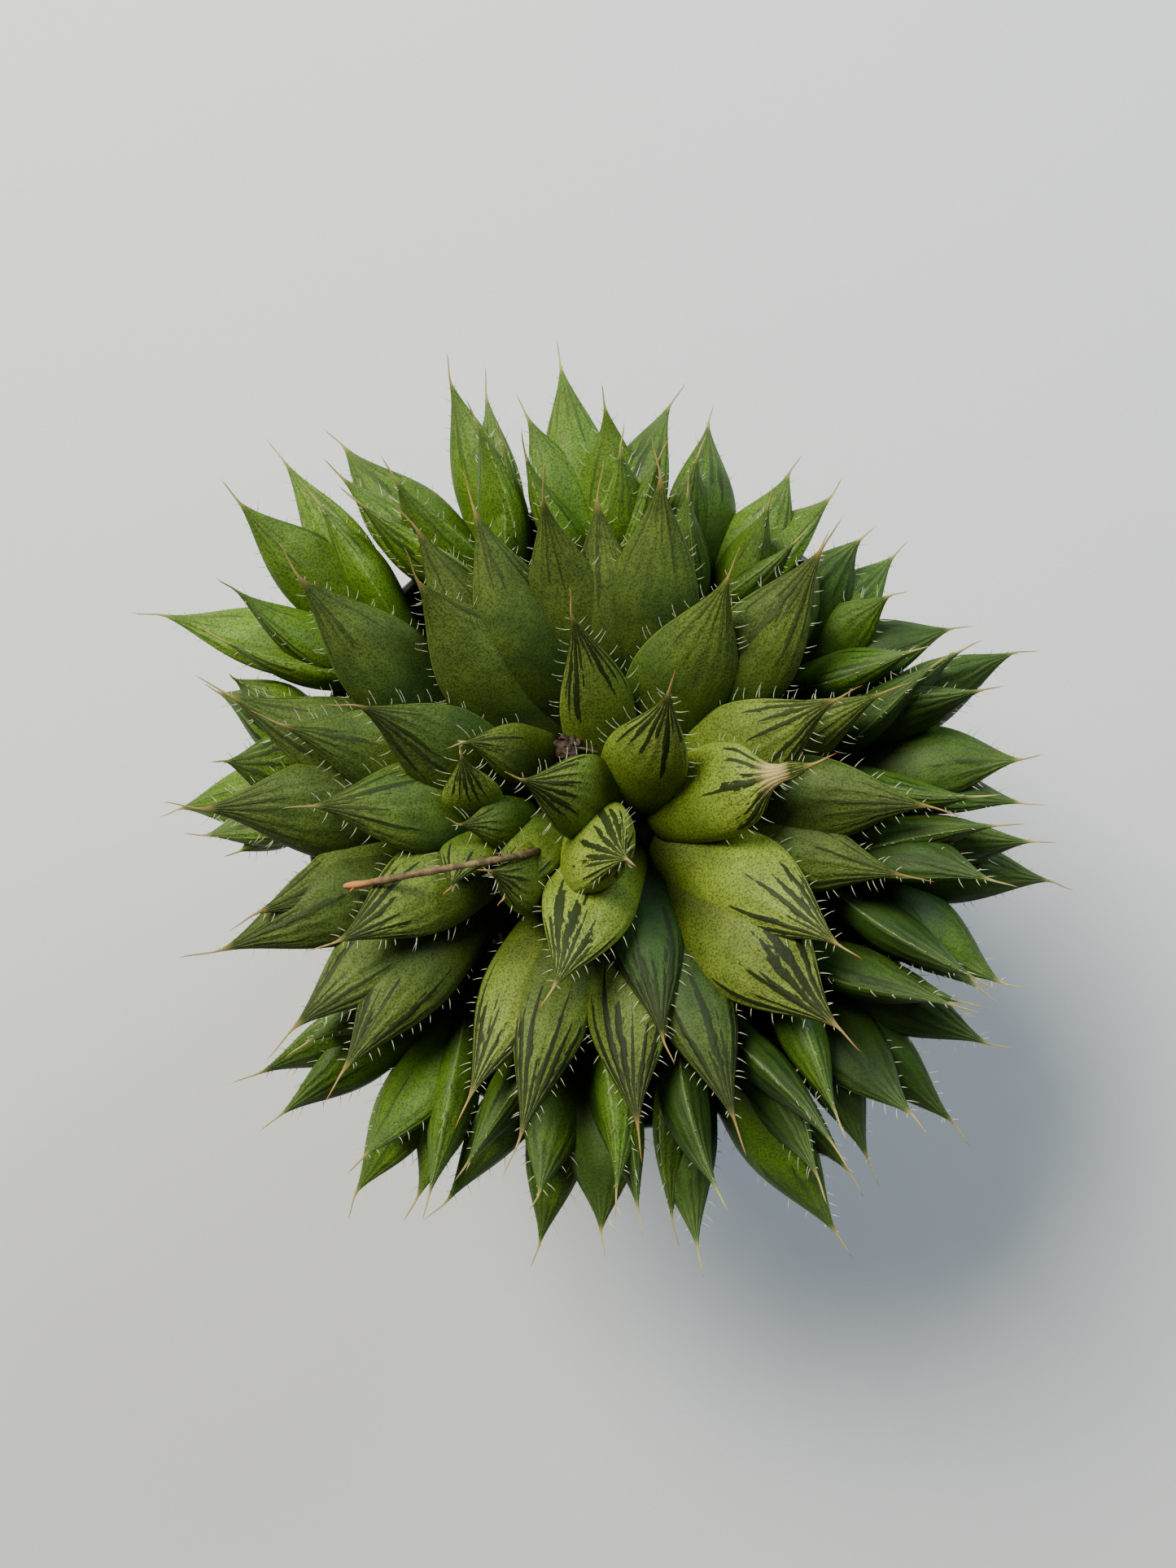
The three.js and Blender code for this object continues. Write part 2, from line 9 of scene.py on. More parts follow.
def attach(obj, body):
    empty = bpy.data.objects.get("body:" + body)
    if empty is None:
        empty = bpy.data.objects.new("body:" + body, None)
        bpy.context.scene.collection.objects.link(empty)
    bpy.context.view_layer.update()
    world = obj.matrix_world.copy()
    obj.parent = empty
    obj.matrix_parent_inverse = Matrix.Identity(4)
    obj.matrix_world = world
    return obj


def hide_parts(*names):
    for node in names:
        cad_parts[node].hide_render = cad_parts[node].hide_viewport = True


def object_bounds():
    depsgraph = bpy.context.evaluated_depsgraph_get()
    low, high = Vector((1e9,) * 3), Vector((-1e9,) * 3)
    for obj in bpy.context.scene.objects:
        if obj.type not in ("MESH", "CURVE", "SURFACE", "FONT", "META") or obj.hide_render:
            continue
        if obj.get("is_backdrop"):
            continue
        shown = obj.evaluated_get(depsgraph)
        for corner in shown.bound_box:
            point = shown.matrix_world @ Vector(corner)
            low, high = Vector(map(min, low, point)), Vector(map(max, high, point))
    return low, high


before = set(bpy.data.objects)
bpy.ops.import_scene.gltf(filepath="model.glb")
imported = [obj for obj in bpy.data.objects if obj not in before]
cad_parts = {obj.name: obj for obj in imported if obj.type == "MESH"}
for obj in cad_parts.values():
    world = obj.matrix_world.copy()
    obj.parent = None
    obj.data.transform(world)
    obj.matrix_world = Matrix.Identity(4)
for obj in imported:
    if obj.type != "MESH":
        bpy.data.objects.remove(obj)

# Potted Haworthia cooperi: fine leaves with bristles, pot, soil and dry remains.
# The plant is laid out in millimetres, as the part's solids are, and made in metres.

mm = 0.001
tau = 2 * math.pi
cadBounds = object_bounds()


# Small helpers

def say(text):
    print("scene:", text, flush=True)


def mix(low, high, share):
    return low + (high - low) * share


def ease(share):
    kept = np.clip(share, 0, 1)
    return kept * kept * (3 - 2 * kept)


def chance(seed):  # a repeatable number between 0 and 1 for each seed
    value = math.sin(seed * 12.9898 + 4.1414) * 43758.5453
    return value - math.floor(value)


def unit(vector):
    return vector / np.linalg.norm(vector)


def compass(azimuth):  # level directions outward and sideways, for an azimuth in degrees
    angle = math.radians(azimuth)
    outward = np.array([math.cos(angle), math.sin(angle), 0])
    return outward, np.array([-outward[1], outward[0], 0])


def turnedRound(vector, axis, angle):  # a vector turned about an axis
    return (vector * math.cos(angle) + np.cross(axis, vector) * math.sin(angle)
            + axis * np.dot(axis, vector) * (1 - math.cos(angle)))


def tone(red, green, blue):  # a colour as it is seen, 0 to 255, as linear light
    parts = [value / 255 for value in (red, green, blue)]
    parts = [p / 12.92 if p <= 0.04045 else ((p + 0.055) / 1.055) ** 2.4 for p in parts]
    return (*parts, 1)


# A bmesh sphere drawn out into a leaf, a bristle or a stalk: shape gets the share of the way from
# the root to the tip and the angle round it, and gives the points in millimetres
def addDrawn(bm, sides, rings, shape, materialIndex=0, layers=None, marks=None):
    made = bmesh.ops.create_uvsphere(bm, u_segments=sides, v_segments=rings, radius=1)["verts"]
    ball = np.array([vert.co for vert in made])
    along = 1 - np.arccos(np.clip(ball[:, 2], -1, 1)) / math.pi
    along = np.round(along * rings) / rings
    around = np.arctan2(ball[:, 1], ball[:, 0])
    points = shape(along, around) * mm
    for vert, point in zip(made, points):
        vert.co = point
    if layers is not None:
        place, kind, marksAndLight = layers
        for vert, share, angle in zip(made, along, around):
            vert[place] = (share, math.cos(angle), math.sin(angle))
            vert[kind], vert[marksAndLight] = marks
    for face in {face for vert in made for face in vert.link_faces}:
        face.material_index = materialIndex
        face.smooth = True
    return made


def finishPiece(bm, name, materials):  # the bmesh as an object at the origin
    mesh = bpy.data.meshes.new(name)
    bm.to_mesh(mesh)
    bm.free()
    for material in materials:
        mesh.materials.append(material)
    piece = bpy.data.objects.new(name, mesh)
    bpy.context.collection.objects.link(piece)
    return piece


# A node material, with short names for the nodes that are used here

class Nodes:
    def __init__(self, name):
        self.material = bpy.data.materials.new(name)
        self.material.use_nodes = True
        self.tree = self.material.node_tree
        self.tree.nodes.clear()
        self.shader = self.add("ShaderNodeBsdfPrincipled")
        output = self.add("ShaderNodeOutputMaterial")
        self.link(self.shader.outputs["BSDF"], output.inputs["Surface"])

    def add(self, kind, **settings):
        node = self.tree.nodes.new(kind)
        for key, value in settings.items():
            setattr(node, key, value)
        return node

    def link(self, source, target):
        self.tree.links.new(source, target)

    def put(self, target, value):  # a number, a colour or another node's output
        if isinstance(value, bpy.types.NodeSocket):
            self.link(value, target)
        else:
            target.default_value = value

    def math(self, operation, first, second=0.0, third=0.0):
        node = self.add("ShaderNodeMath", operation=operation)
        for socket, value in zip(node.inputs, (first, second, third)):
            self.put(socket, value)
        return node.outputs[0]

    def times(self, first, second):
        return self.math("MULTIPLY", first, second)

    def scaled(self, value, factor, shift):  # value times factor, plus shift
        return self.math("MULTIPLY_ADD", value, factor, shift)

    def less(self, first, second):
        return self.math("SUBTRACT", first, second)

    def vector(self, x, y, z):
        node = self.add("ShaderNodeCombineXYZ")
        for socket, value in zip(node.inputs, (x, y, z)):
            self.put(socket, value)
        return node.outputs[0]

    def split(self, vector):
        node = self.add("ShaderNodeSeparateXYZ")
        self.link(vector, node.inputs[0])
        return node.outputs

    def attribute(self, name):
        return self.add("ShaderNodeAttribute", attribute_name=name).outputs["Vector"]

    def objectPlace(self):
        return self.add("ShaderNodeTexCoord").outputs["Object"]

    def noise(self, vector, scale, detail=2.0, roughness=0.5, distortion=0.0):
        node = self.add("ShaderNodeTexNoise")
        self.link(vector, node.inputs["Vector"])
        node.inputs["Scale"].default_value = scale
        node.inputs["Detail"].default_value = detail
        node.inputs["Roughness"].default_value = roughness
        node.inputs["Distortion"].default_value = distortion
        return node.outputs["Fac"]

    def step(self, value, start, end, low=0.0, high=1.0):  # a smooth step from start to end
        node = self.add("ShaderNodeMapRange", interpolation_type="SMOOTHSTEP")
        for name, number in (("Value", value), ("From Min", start), ("From Max", end),
                             ("To Min", low), ("To Max", high)):
            self.put(node.inputs[name], number)
        return node.outputs["Result"]

    def blend(self, share, first, second):  # between colours as seen or nodes' outputs
        node = self.add("ShaderNodeMix", data_type="RGBA")
        self.put(node.inputs[0], share)
        for socket, colour in zip(node.inputs[6:8], (first, second)):
            self.put(socket, tone(*colour) if isinstance(colour, tuple) else colour)
        return node.outputs[2]

    def bump(self, height, distance, strength=1.0, normal=None):
        node = self.add("ShaderNodeBump")
        self.put(node.inputs["Height"], height)
        node.inputs["Distance"].default_value = distance
        node.inputs["Strength"].default_value = strength
        if normal is not None:
            self.link(normal, node.inputs["Normal"])
        return node.outputs["Normal"]

    def set(self, **values):
        for name, value in values.items():
            self.put(self.shader.inputs[name.replace("_", " ")], value)


# Camera: straight above the plant, looking down

camera = {"height": 0.292, "lens": 33.6, "shiftX": -0.022, "shiftY": 0.019}

cameraData = bpy.data.cameras.new("camera")
cameraData.lens = camera["lens"]
cameraData.sensor_width = 36
cameraData.shift_x = camera["shiftX"]
cameraData.shift_y = camera["shiftY"]
cameraData.clip_start = 0.01
cameraObject = bpy.data.objects.new("camera", cameraData)
cameraObject.location = (0, 0, camera["height"])
bpy.context.collection.objects.link(cameraObject)
bpy.context.scene.camera = cameraObject


# Light: a soft window at the top left, a paler sky at the top right and a dim room round them

lights = {
    "window": {"place": (-0.36, 0.42, 0.72), "size": 0.34, "power": 15.9,
               "colour": (1.0, 0.95, 0.82)},
    "sky": {"place": (0.42, 0.5, 0.5), "size": 0.3, "power": 4.8, "colour": (0.72, 0.86, 1.0)},
}
aim = Vector((0, 0, 0.08))  # the lamps face the middle of the part
room = {"colour": (0.92, 0.88, 0.83, 1), "strength": 0.17}

for name, light in lights.items():
    lampData = bpy.data.lights.new(name, "AREA")
    lampData.shape = "SQUARE"
    lampData.size = light["size"]
    lampData.energy = light["power"]
    lampData.color = light["colour"]
    lamp = bpy.data.objects.new(name, lampData)
    lamp.location = light["place"]
    lamp.rotation_euler = (aim - lamp.location).to_track_quat("-Z", "Y").to_euler()
    bpy.context.collection.objects.link(lamp)

world = bpy.data.worlds.new("room")
world.use_nodes = True
background = world.node_tree.nodes["Background"]
background.inputs["Color"].default_value = room["colour"]
background.inputs["Strength"].default_value = room["strength"]
bpy.context.scene.world = world
say("camera and lights stand")


# Floor

floor = {
    "size": 3.0, "cloudScale": 6, "roughness": 0.85,
    "colour": (206, 210, 211), "darker": (199, 204, 207),
}

bm = bmesh.new()
bmesh.ops.create_grid(bm, x_segments=1, y_segments=1, size=floor["size"] / 2)
paint = Nodes("floor")
cloud = paint.noise(paint.objectPlace(), floor["cloudScale"])
paint.set(Base_Color=paint.blend(cloud, floor["colour"], floor["darker"]),
          Roughness=floor["roughness"])
floorPiece = finishPiece(bm, "floor", [paint.material])
floorPiece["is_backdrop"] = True


# Leaf colours: a light base with painted sunlight and painted shade, and dark windows that reach
# down between light lines

matureLeaf = {
    "litGreen": (113, 131, 39),       # painted sunlight: the plain lower half, on leaves painted as lit
    "shadedGreen": (38, 68, 25),         # painted shade: the same, on leaves painted as shaded, a little blue for a painted sheen
    "speckle": (34, 54, 10), "line": (130, 144, 66), "margin": (134, 148, 68),
    "window": (32, 43, 16), "windowTip": (50, 58, 27),
    "awn": (188, 160, 100), "awnEnd": (176, 92, 40),
    "fingers": 17, "wander": 3.6, "fray": 1.3,
    "windowStart": 0.59, "windowSpan": 0.24, "windowFill": 0.93,
    "roughness": 0.56, "shine": 0.14, "inside": 0.08,
}
youngLeaf = {
    # painted sunlight and painted shade on the young leaves' plain base
    "litGreen": (88, 124, 18), "shadedGreen": (40, 64, 20),
    "speckle": (32, 56, 8), "line": (94, 122, 40), "margin": (116, 142, 66),
    "window": (30, 50, 14), "windowTip": (84, 104, 56),
    "awn": (188, 172, 106), "awnEnd": (152, 104, 52),
    "fingers": 14, "wander": 3.0, "fray": 1.0,
    "windowStart": 0.5, "windowSpan": 0.4, "windowFill": 0.8,
    "roughness": 0.54, "shine": 0.18, "inside": 0.15,
}
# What both kinds of leaf share: places run from 0 at the root to 1 at the tip, and the scales of
# grain, patches and mottle are per metre
leafPattern = {
    "seedSpread": 17.0, "wanderAlong": 5.0, "wanderScale": 1.6,
    "reachScale": 2.3, "reachSpread": 1.3,     # how unevenly the windows start
    "unmarkedStart": 0.25,                     # how much later where a leaf has few marks
    "frayAlong": 16.0, "frayAcross": 5.0, "frayScale": 2.2,
    "windowPower": 2.3, "windowEdge": (-0.07, 0.09), "firstWindow": (0.03, 0.16),
    "faintest": 0.1, "markStrength": 0.85,
    "grainScale": 3600, "patchScale": 130, "patchShade": 0.35,
    "mottleScale": 210, "mottleShade": (0.8, 1.1),
    "lineStart": (0.25, 0.75), "lineShare": 0.7, "lineInSun": (0.85, 0.12),
    "speckleShare": 0.7, "paleTip": (0.55, 0.86), "windowGrain": 0.3,
    "marginWidth": (0.02, 0.1), "marginShare": 0.5,
    "awnStart": (0.82, 0.9), "awnEndStart": (0.92, 0.99),
    # rootShade: how dark the painted shade at a leaf's root is
    "dry": (196, 174, 122), "rootShade": 0.22,
    "ridgeStart": (0.3, 0.7),
    "ridge": (0.00022, 0.55), "grain": (0.00008, 0.6),  # height in metres and strength
    "glow": (0.7, 1.0, 0.25), "glowDepth": 0.0022,
}


def leafMaterial(name, look):
    look = {**leafPattern, **look}
    paint = Nodes(name)
    along, side, above = paint.split(paint.attribute("leafPlace"))
    # toneAndLight: a random tone per leaf, brightened as painted sunlight; litShare: painted
    # sunlight against painted shade; depth: how far up the painted root shade reaches
    seed, toneAndLight, dry = paint.split(paint.attribute("leafKind"))
    marked, litShare, depth = paint.split(paint.attribute("leafMarksAndLight"))
    objectPlace = paint.objectPlace()
    seedShift = paint.times(seed, look["seedSpread"])
    angle = paint.math("ARCTAN2", above, side)

    # how the fingers of the windows wander, how far down each reaches and how its edges fray
    wanderPlace = paint.vector(paint.scaled(along, look["wanderAlong"], seedShift), side, above)
    wander = paint.noise(wanderPlace, look["wanderScale"], 3, 0.6)
    reach = paint.noise(paint.vector(seedShift, side, above), look["reachScale"], 2, 0.7)
    frayPlace = paint.vector(paint.scaled(along, look["frayAlong"], seedShift),
                             paint.times(side, look["frayAcross"]),
                             paint.times(above, look["frayAcross"]))
    fray = paint.noise(frayPlace, look["frayScale"], 2, 0.6)
    turn = paint.scaled(angle, float(look["fingers"]), paint.times(seed, tau))
    turn = paint.scaled(paint.less(wander, 0.5), look["wander"] * 2, turn)
    wave = paint.scaled(paint.math("SINE", turn), 0.5, 0.5)
    wave = paint.scaled(paint.less(fray, 0.5), look["fray"], wave)

    # the windows fill in from where they start to the tip, faintly on leaves with few marks
    latest = look["windowStart"] + look["unmarkedStart"]
    start = paint.scaled(paint.less(reach, 0.5), look["reachSpread"], latest)
    start = paint.scaled(marked, -look["unmarkedStart"], start)
    grown = paint.step(along, start, paint.math("ADD", start, look["windowSpan"]))
    still = paint.math("POWER", paint.less(1.0, grown), look["windowPower"])
    fill = paint.times(paint.less(1.0, still), look["windowFill"])
    gate = paint.less(paint.math("ADD", wave, fill), 1.0)
    dark = paint.times(paint.step(gate, *look["windowEdge"]),
                       paint.step(fill, *look["firstWindow"]))
    strength = paint.scaled(marked, look["markStrength"], look["faintest"])
    dark = paint.times(dark, paint.math("MINIMUM", strength, 1.0))

    # the light base: painted sunlight against painted shade by each leaf's lit share, greener in
    # patches; fine dark speckles; paler lines towards the tip, stronger where painted as lit
    grain = paint.noise(objectPlace, look["grainScale"], 2, 0.6)
    patch = paint.noise(objectPlace, look["patchScale"], 3, 0.6)
    litPart = paint.less(litShare, paint.times(paint.step(patch, 0.3, 0.75), look["patchShade"]))
    litPart = paint.math("MAXIMUM", litPart, 0.0)
    light = paint.blend(litPart, look["shadedGreen"], look["litGreen"])
    lines = paint.times(paint.step(along, *look["lineStart"], 0.0, look["lineShare"]),
                        paint.scaled(litShare, *look["lineInSun"]))
    light = paint.blend(lines, light, look["line"])
    speckles = paint.times(paint.step(grain, 0.42, 0.66), look["speckleShare"])
    light = paint.blend(speckles, light, look["speckle"])

    # the windows, then the margin, the awn and its end, which is redder where the leaf is painted
    # as lit
    window = paint.blend(paint.step(along, *look["paleTip"]), look["window"], look["windowTip"])
    windowGrain = paint.times(paint.step(grain, 0.55, 0.8), look["windowGrain"])
    window = paint.blend(windowGrain, window, look["shadedGreen"])
    colour = paint.blend(dark, light, window)
    edge = paint.step(paint.math("ABSOLUTE", above), *look["marginWidth"],
                      look["marginShare"], 0.0)
    colour = paint.blend(edge, colour, look["margin"])
    colour = paint.blend(paint.step(along, *look["awnStart"]), colour, look["awn"])
    awnEnd = paint.blend(litShare, look["awn"], look["awnEnd"])
    colour = paint.blend(paint.step(along, *look["awnEndStart"]), colour, awnEnd)

    # a dry, pale band where a leaf has shrunk, painted shade at the root where the leaf sits deep
    # among the others, each leaf's random tone with its painted sunlight, and mottling all over
    colour = paint.blend(dry, colour, look["dry"])
    risen = paint.math("DIVIDE", along, paint.math("MAXIMUM", depth, 0.05))
    rootShade = paint.step(risen, 0.1, 1.0, look["rootShade"], 1.0)
    mottle = paint.noise(objectPlace, look["mottleScale"], 3, 0.6)
    mottle = paint.step(mottle, 0.3, 0.7, *look["mottleShade"])
    level = paint.times(paint.times(rootShade, toneAndLight), mottle)
    shaded = paint.add("ShaderNodeMix", data_type="RGBA", blend_type="MULTIPLY")
    shaded.inputs[0].default_value = 1.0
    paint.link(colour, shaded.inputs[6])
    paint.link(paint.vector(level, level, level), shaded.inputs[7])

    ridges = paint.times(wave, paint.step(along, *look["ridgeStart"]))
    normal = paint.bump(ridges, *look["ridge"])
    normal = paint.bump(grain, *look["grain"], normal)
    rough = paint.scaled(patch, 0.16, look["roughness"] - 0.08)
    paint.set(Base_Color=shaded.outputs[2], Roughness=rough, Normal=normal,
              Specular_IOR_Level=look["shine"], Subsurface_Weight=look["inside"],
              Subsurface_Radius=look["glow"], Subsurface_Scale=look["glowDepth"])
    return paint.material


bristleLook = {
    "root": (150, 164, 92), "tip": (206, 208, 172), "tanned": (196, 168, 122),
    "cloudScale": 420, "tannedShare": 0.6, "roughness": 0.42,
    "inside": 0.3, "glow": (1.0, 1.0, 0.8), "glowDepth": 0.0006,
}


def bristleMaterial():
    paint = Nodes("bristle")
    along = paint.split(paint.attribute("leafPlace"))[0]
    cloud = paint.noise(paint.objectPlace(), bristleLook["cloudScale"])
    colour = paint.blend(paint.step(along, 0.15, 0.5), bristleLook["root"], bristleLook["tip"])
    tanned = paint.times(paint.step(cloud, 0.55, 0.75), bristleLook["tannedShare"])
    colour = paint.blend(tanned, colour, bristleLook["tanned"])
    paint.set(Base_Color=colour, Roughness=bristleLook["roughness"],
              Subsurface_Weight=bristleLook["inside"], Subsurface_Radius=bristleLook["glow"],
              Subsurface_Scale=bristleLook["glowDepth"])
    return paint.material


leafMature = leafMaterial("leaf_mature", matureLeaf)
leafYoung = leafMaterial("leaf_young", youngLeaf)
bristle = bristleMaterial()
say("leaf materials are ready")


# Leaf shape, as in the solids, with a finer awn and a slight sway on top

leafForm = {
    "bodyShare": 0.9, "widestAt": (0.36, 0.5), "rootShare": (0.96, 0.62),
    "upperBulge": 0.25, "lowerBulge": 0.36, "closingPower": 1.65,
    "awnRadius": 0.42, "awnTaper": (1.15, 0.35),
    "marginPower": 1.22,          # above 1 gives the leaf a sharper margin
}
leafDetail = {  # in the visual leaf alone
    "awnSlimming": 0.7, "tipClosing": 12, "rootClosing": 16,
    "swayTurns": 7, "sway": 0.35, "nodTurns": 6, "nod": 0.25,
    "hookLength": 0.14, "hook": 1.3,
}
leafCurve = {
    "firstHandle": 0.4, "secondHandle": 0.3,
    "tipCurl": 0.045, "tipBow": 1.15, "roll": 12,
    "mainBow": (-10, 13), "offsetBow": 15,
}


def makeLeaf(root, tip, width, bow, across, age, seed):
    run = tip - root
    length = np.linalg.norm(run)
    side = unit(across)
    outDirection = turnedRound(unit(run), side, bow)
    tipDirection = turnedRound(unit(run), side, -bow * leafCurve["tipBow"])
    curl = mix(-leafCurve["tipCurl"], leafCurve["tipCurl"], chance(seed)) * length
    roll = math.radians(mix(-leafCurve["roll"], leafCurve["roll"], chance(seed + 0.5)))
    return {
        "points": np.array([root,
                            root + outDirection * length * leafCurve["firstHandle"],
                            tip - tipDirection * length * leafCurve["secondHandle"],
                            tip + side * curl]),
        "width": width,
        "length": length,
        "age": age,
        "across": turnedRound(side, unit(run), roll),
        "seed": seed,
        "widestAt": mix(*leafForm["widestAt"], age),
        "rootShare": mix(*leafForm["rootShare"], age),
    }


def leafFrame(leaf, along):  # centre line with its directions, at each place along it
    share = along[:, None]
    rest = 1 - share
    p0, p1, p2, p3 = leaf["points"]
    centre = (rest ** 3 * p0 + 3 * rest ** 2 * share * p1
              + 3 * rest * share ** 2 * p2 + share ** 3 * p3)
    forward = rest ** 2 * (p1 - p0) + 2 * rest * share * (p2 - p1) + share ** 2 * (p3 - p2)
    forward = forward / np.linalg.norm(forward, axis=1)[:, None]
    across = leaf["across"] - forward * (forward @ leaf["across"])[:, None]
    across = across / np.linalg.norm(across, axis=1)[:, None]
    return centre, forward, across, np.cross(forward, across)


def leafSurface(leaf, along, around, fine=False):
    body = np.minimum(along / leafForm["bodyShare"], 1)
    swell = mix(leaf["rootShare"], 1, ease(body / leaf["widestAt"]))
    taper = np.clip((body - leaf["widestAt"]) / (1 - leaf["widestAt"]), 0, 1)
    closing = np.maximum(np.cos(taper * math.pi / 2), 0) ** leafForm["closingPower"]
    outline = swell * closing * leaf["width"]
    awn = leafForm["awnRadius"] * mix(*leafForm["awnTaper"], along)
    if fine:  # a slimmer awn than the solid's, and closed ends
        awn = awn * mix(1.0, leafDetail["awnSlimming"], ease(along / leafForm["bodyShare"]))
        awn = awn * np.sqrt(np.clip((1 - along) * leafDetail["tipClosing"], 0, 1))
        outline = outline * np.sqrt(np.clip(along * leafDetail["rootClosing"], 0, 1))
        outline = outline * leaf.get("waist", lambda along: 1)(along)
    half = np.hypot(outline / 2, awn)
    upper = np.hypot(outline * leafForm["upperBulge"], awn)
    lower = np.hypot(outline * leafForm["lowerBulge"], awn)
    side, rise = np.cos(around), np.sin(around)
    centre, forward, across, upward = leafFrame(leaf, along)
    if fine:
        rise = np.sign(rise) * np.abs(rise) ** leafForm["marginPower"]
        seed = leaf["seed"]
        sway = np.sin(along * leafDetail["swayTurns"] + seed * 2.1) * along * leafDetail["sway"]
        nod = np.cos(along * leafDetail["nodTurns"] + seed) * along * leafDetail["nod"]
        centre = centre + across * sway[:, None] + upward * nod[:, None]
        hook = ease((along - (1 - leafDetail["hookLength"])) / leafDetail["hookLength"])
        hook = hook * mix(-leafDetail["hook"], leafDetail["hook"], chance(seed + 0.9))
        centre = centre + across * hook[:, None]
    lift = rise * np.where(rise > 0, upper, lower)
    return centre + across * (side * half)[:, None] + upward * lift[:, None]


# The space that each leaf keeps to, and how it is bent to fit

clump = {
    "crownHeight": 83, "crownSize": (17, 10, 4), "crownCentre": (-7.5, 0.7), "apex": 5,
    "bowlHeight": 76, "bowlSlope": 0.55, "bowlStartX": -16,
    "stemFoot": 64, "mainStem": 6, "gap": 0.3, "rimHeight": 80, "rimRadius": 46,
}
settling = {
    "samples": (0.16, 0.3, 0.44, 0.56, 0.68, 0.8, 0.9, 1), "corners": 6,
    "rounds": 160, "margin": 0.03, "longestBend": 4,
    "slimmingRounds": 32, "slimming": 0.92,
}


def settleLeaf(leaf, walls):
    samples = np.repeat(settling["samples"], settling["corners"])
    corners = np.arange(settling["corners"]) * tau / settling["corners"]
    around = np.tile(corners, len(settling["samples"]))
    for turn in range(settling["rounds"]):
        points = leafSurface(leaf, samples, around)
        worst = (0, None, 0)
        for wall in walls:
            depth, push = wall(points)
            index = int(np.argmax(depth))
            if depth[index] > worst[0]:
                worst = (depth[index], push[index], samples[index])
        depth, push, along = worst
        if depth <= 0:
            return True
        rest = 1 - along
        pulls = np.array([3 * rest * rest * along, 3 * rest * along ** 2, along ** 3])
        steps = (depth + settling["margin"]) * pulls / np.sum(pulls ** 2)
        steps = np.minimum(steps, settling["longestBend"])
        leaf["points"][1:] += steps[:, None] * push
        if (turn + 1) % settling["slimmingRounds"] == 0:
            leaf["width"] *= settling["slimming"]
    return False


def aboveBowl(points):  # the old plant stays above this bowl, the offsets under it
    nearest = np.clip(points[:, 0], clump["bowlStartX"], 0)
    away = np.stack([points[:, 0] - nearest, points[:, 1]], 1)
    distance = np.linalg.norm(away, axis=1)
    steepness = math.hypot(1, clump["bowlSlope"])
    floorHeight = clump["bowlHeight"] + clump["gap"] / 2 + clump["bowlSlope"] * distance
    push = np.ones((len(points), 3))
    push[:, :2] = -away * clump["bowlSlope"] / np.maximum(distance, 1e-9)[:, None]
    return (floorHeight - points[:, 2]) / steepness, push / steepness


def flatWall(normal, reach):
    return lambda points: (points @ normal - reach, np.tile(-normal, (len(points), 1)))


# Bristles: curved and pale, in rows along both margins and under the tip

bristles = {
    "length": 2.4, "lengths": (0.35, 1.05),  # and the shares of it that are drawn
    "oldLength": 0.66, "keelLength": 0.7, "radius": 0.09,
    "zone": (0.32, 0.87), "keelZone": (0.52, 0.84),
    "lean": 0.75, "leans": (0.4, 1.5), "rise": 0.2, "curve": 0.6,
    "sides": 3, "rings": 4,
}
bristleMarks = ((0.5, 1.0, 0.0), (1.0, 1.0, 0.0))


def addBristles(bm, leaf, plant, layers):
    reach = leaf["length"] * (bristles["zone"][1] - bristles["zone"][0])
    count = max(int(reach / plant["bristleSpacing"]), 3)
    rows = [(angle, count, bristles["zone"]) for angle in (0.0, math.pi)]
    rows.append((1.5 * math.pi, plant["keelBristles"], bristles["keelZone"]))
    for row, (angle, number, zone) in enumerate(rows):
        shares = (np.arange(number) + 0.5) / number
        seeds = [leaf["seed"] * 31 + row * 7 + index for index in range(number)]
        drawn = np.array([[chance(seed), chance(seed + 0.3), chance(seed + 0.6)] for seed in seeds])
        places = mix(zone[0], zone[1], shares ** 0.85 + (drawn[:, 0] - 0.5) * 1.1 / number)
        angles = np.full(number, angle)
        bases = leafSurface(leaf, places, angles, True)
        centre, forward, across, upward = leafFrame(leaf, places)
        outward = across * math.cos(angle) + upward * math.sin(angle)
        lean = bristles["lean"] * mix(*bristles["leans"], drawn[:, 1])
        direction = outward + forward * lean[:, None]
        direction += upward * bristles["rise"] * (1 if row < 2 else 0)
        direction /= np.linalg.norm(direction, axis=1)[:, None]
        growing = (places - zone[0]) * 9 + 0.35
        fading = (zone[1] - places) * 7 + 0.55
        fade = np.minimum(np.minimum(growing, fading), 1)
        lengths = bristles["length"] * mix(*bristles["lengths"], drawn[:, 2]) * fade
        lengths = lengths * (bristles["keelLength"] if row == 2 else 1)
        lengths *= mix(1, bristles["oldLength"], leaf["age"])
        for base, aim, bend, length in zip(bases, direction, forward, lengths):
            one = unit(np.cross(aim, bend) + 1e-6)
            two = np.cross(aim, one)

            def spike(along, around):
                ahead = (along * 1.12 - 0.12) * length
                thick = bristles["radius"] * (1 - along) ** 0.8 * np.minimum(along * 8, 1)
                curve = bristles["curve"] * np.maximum(ahead, 0) ** 2 / 3
                return (base + aim * ahead[:, None] + bend * curve[:, None]
                        + one * (np.cos(around) * thick)[:, None]
                        + two * (np.sin(around) * thick)[:, None])

            addDrawn(bm, bristles["sides"], bristles["rings"], spike, 1, layers, bristleMarks)


def newRosette():
    bm = bmesh.new()
    names = ("leafPlace", "leafKind", "leafMarksAndLight")
    return bm, [bm.verts.layers.float_vector.new(name) for name in names]


def addPart(whole, part):  # joins one leaf's bmesh to its rosette's
    spare = bpy.data.meshes.new("spare")
    part.to_mesh(spare)
    part.free()
    whole.from_mesh(spare)
    bpy.data.meshes.remove(spare)


hiddenMarksAndShade = (0.0, 0.3, 0.3)  # unmarked, painted as shaded and with painted root shade: stems and crowns between the leaves
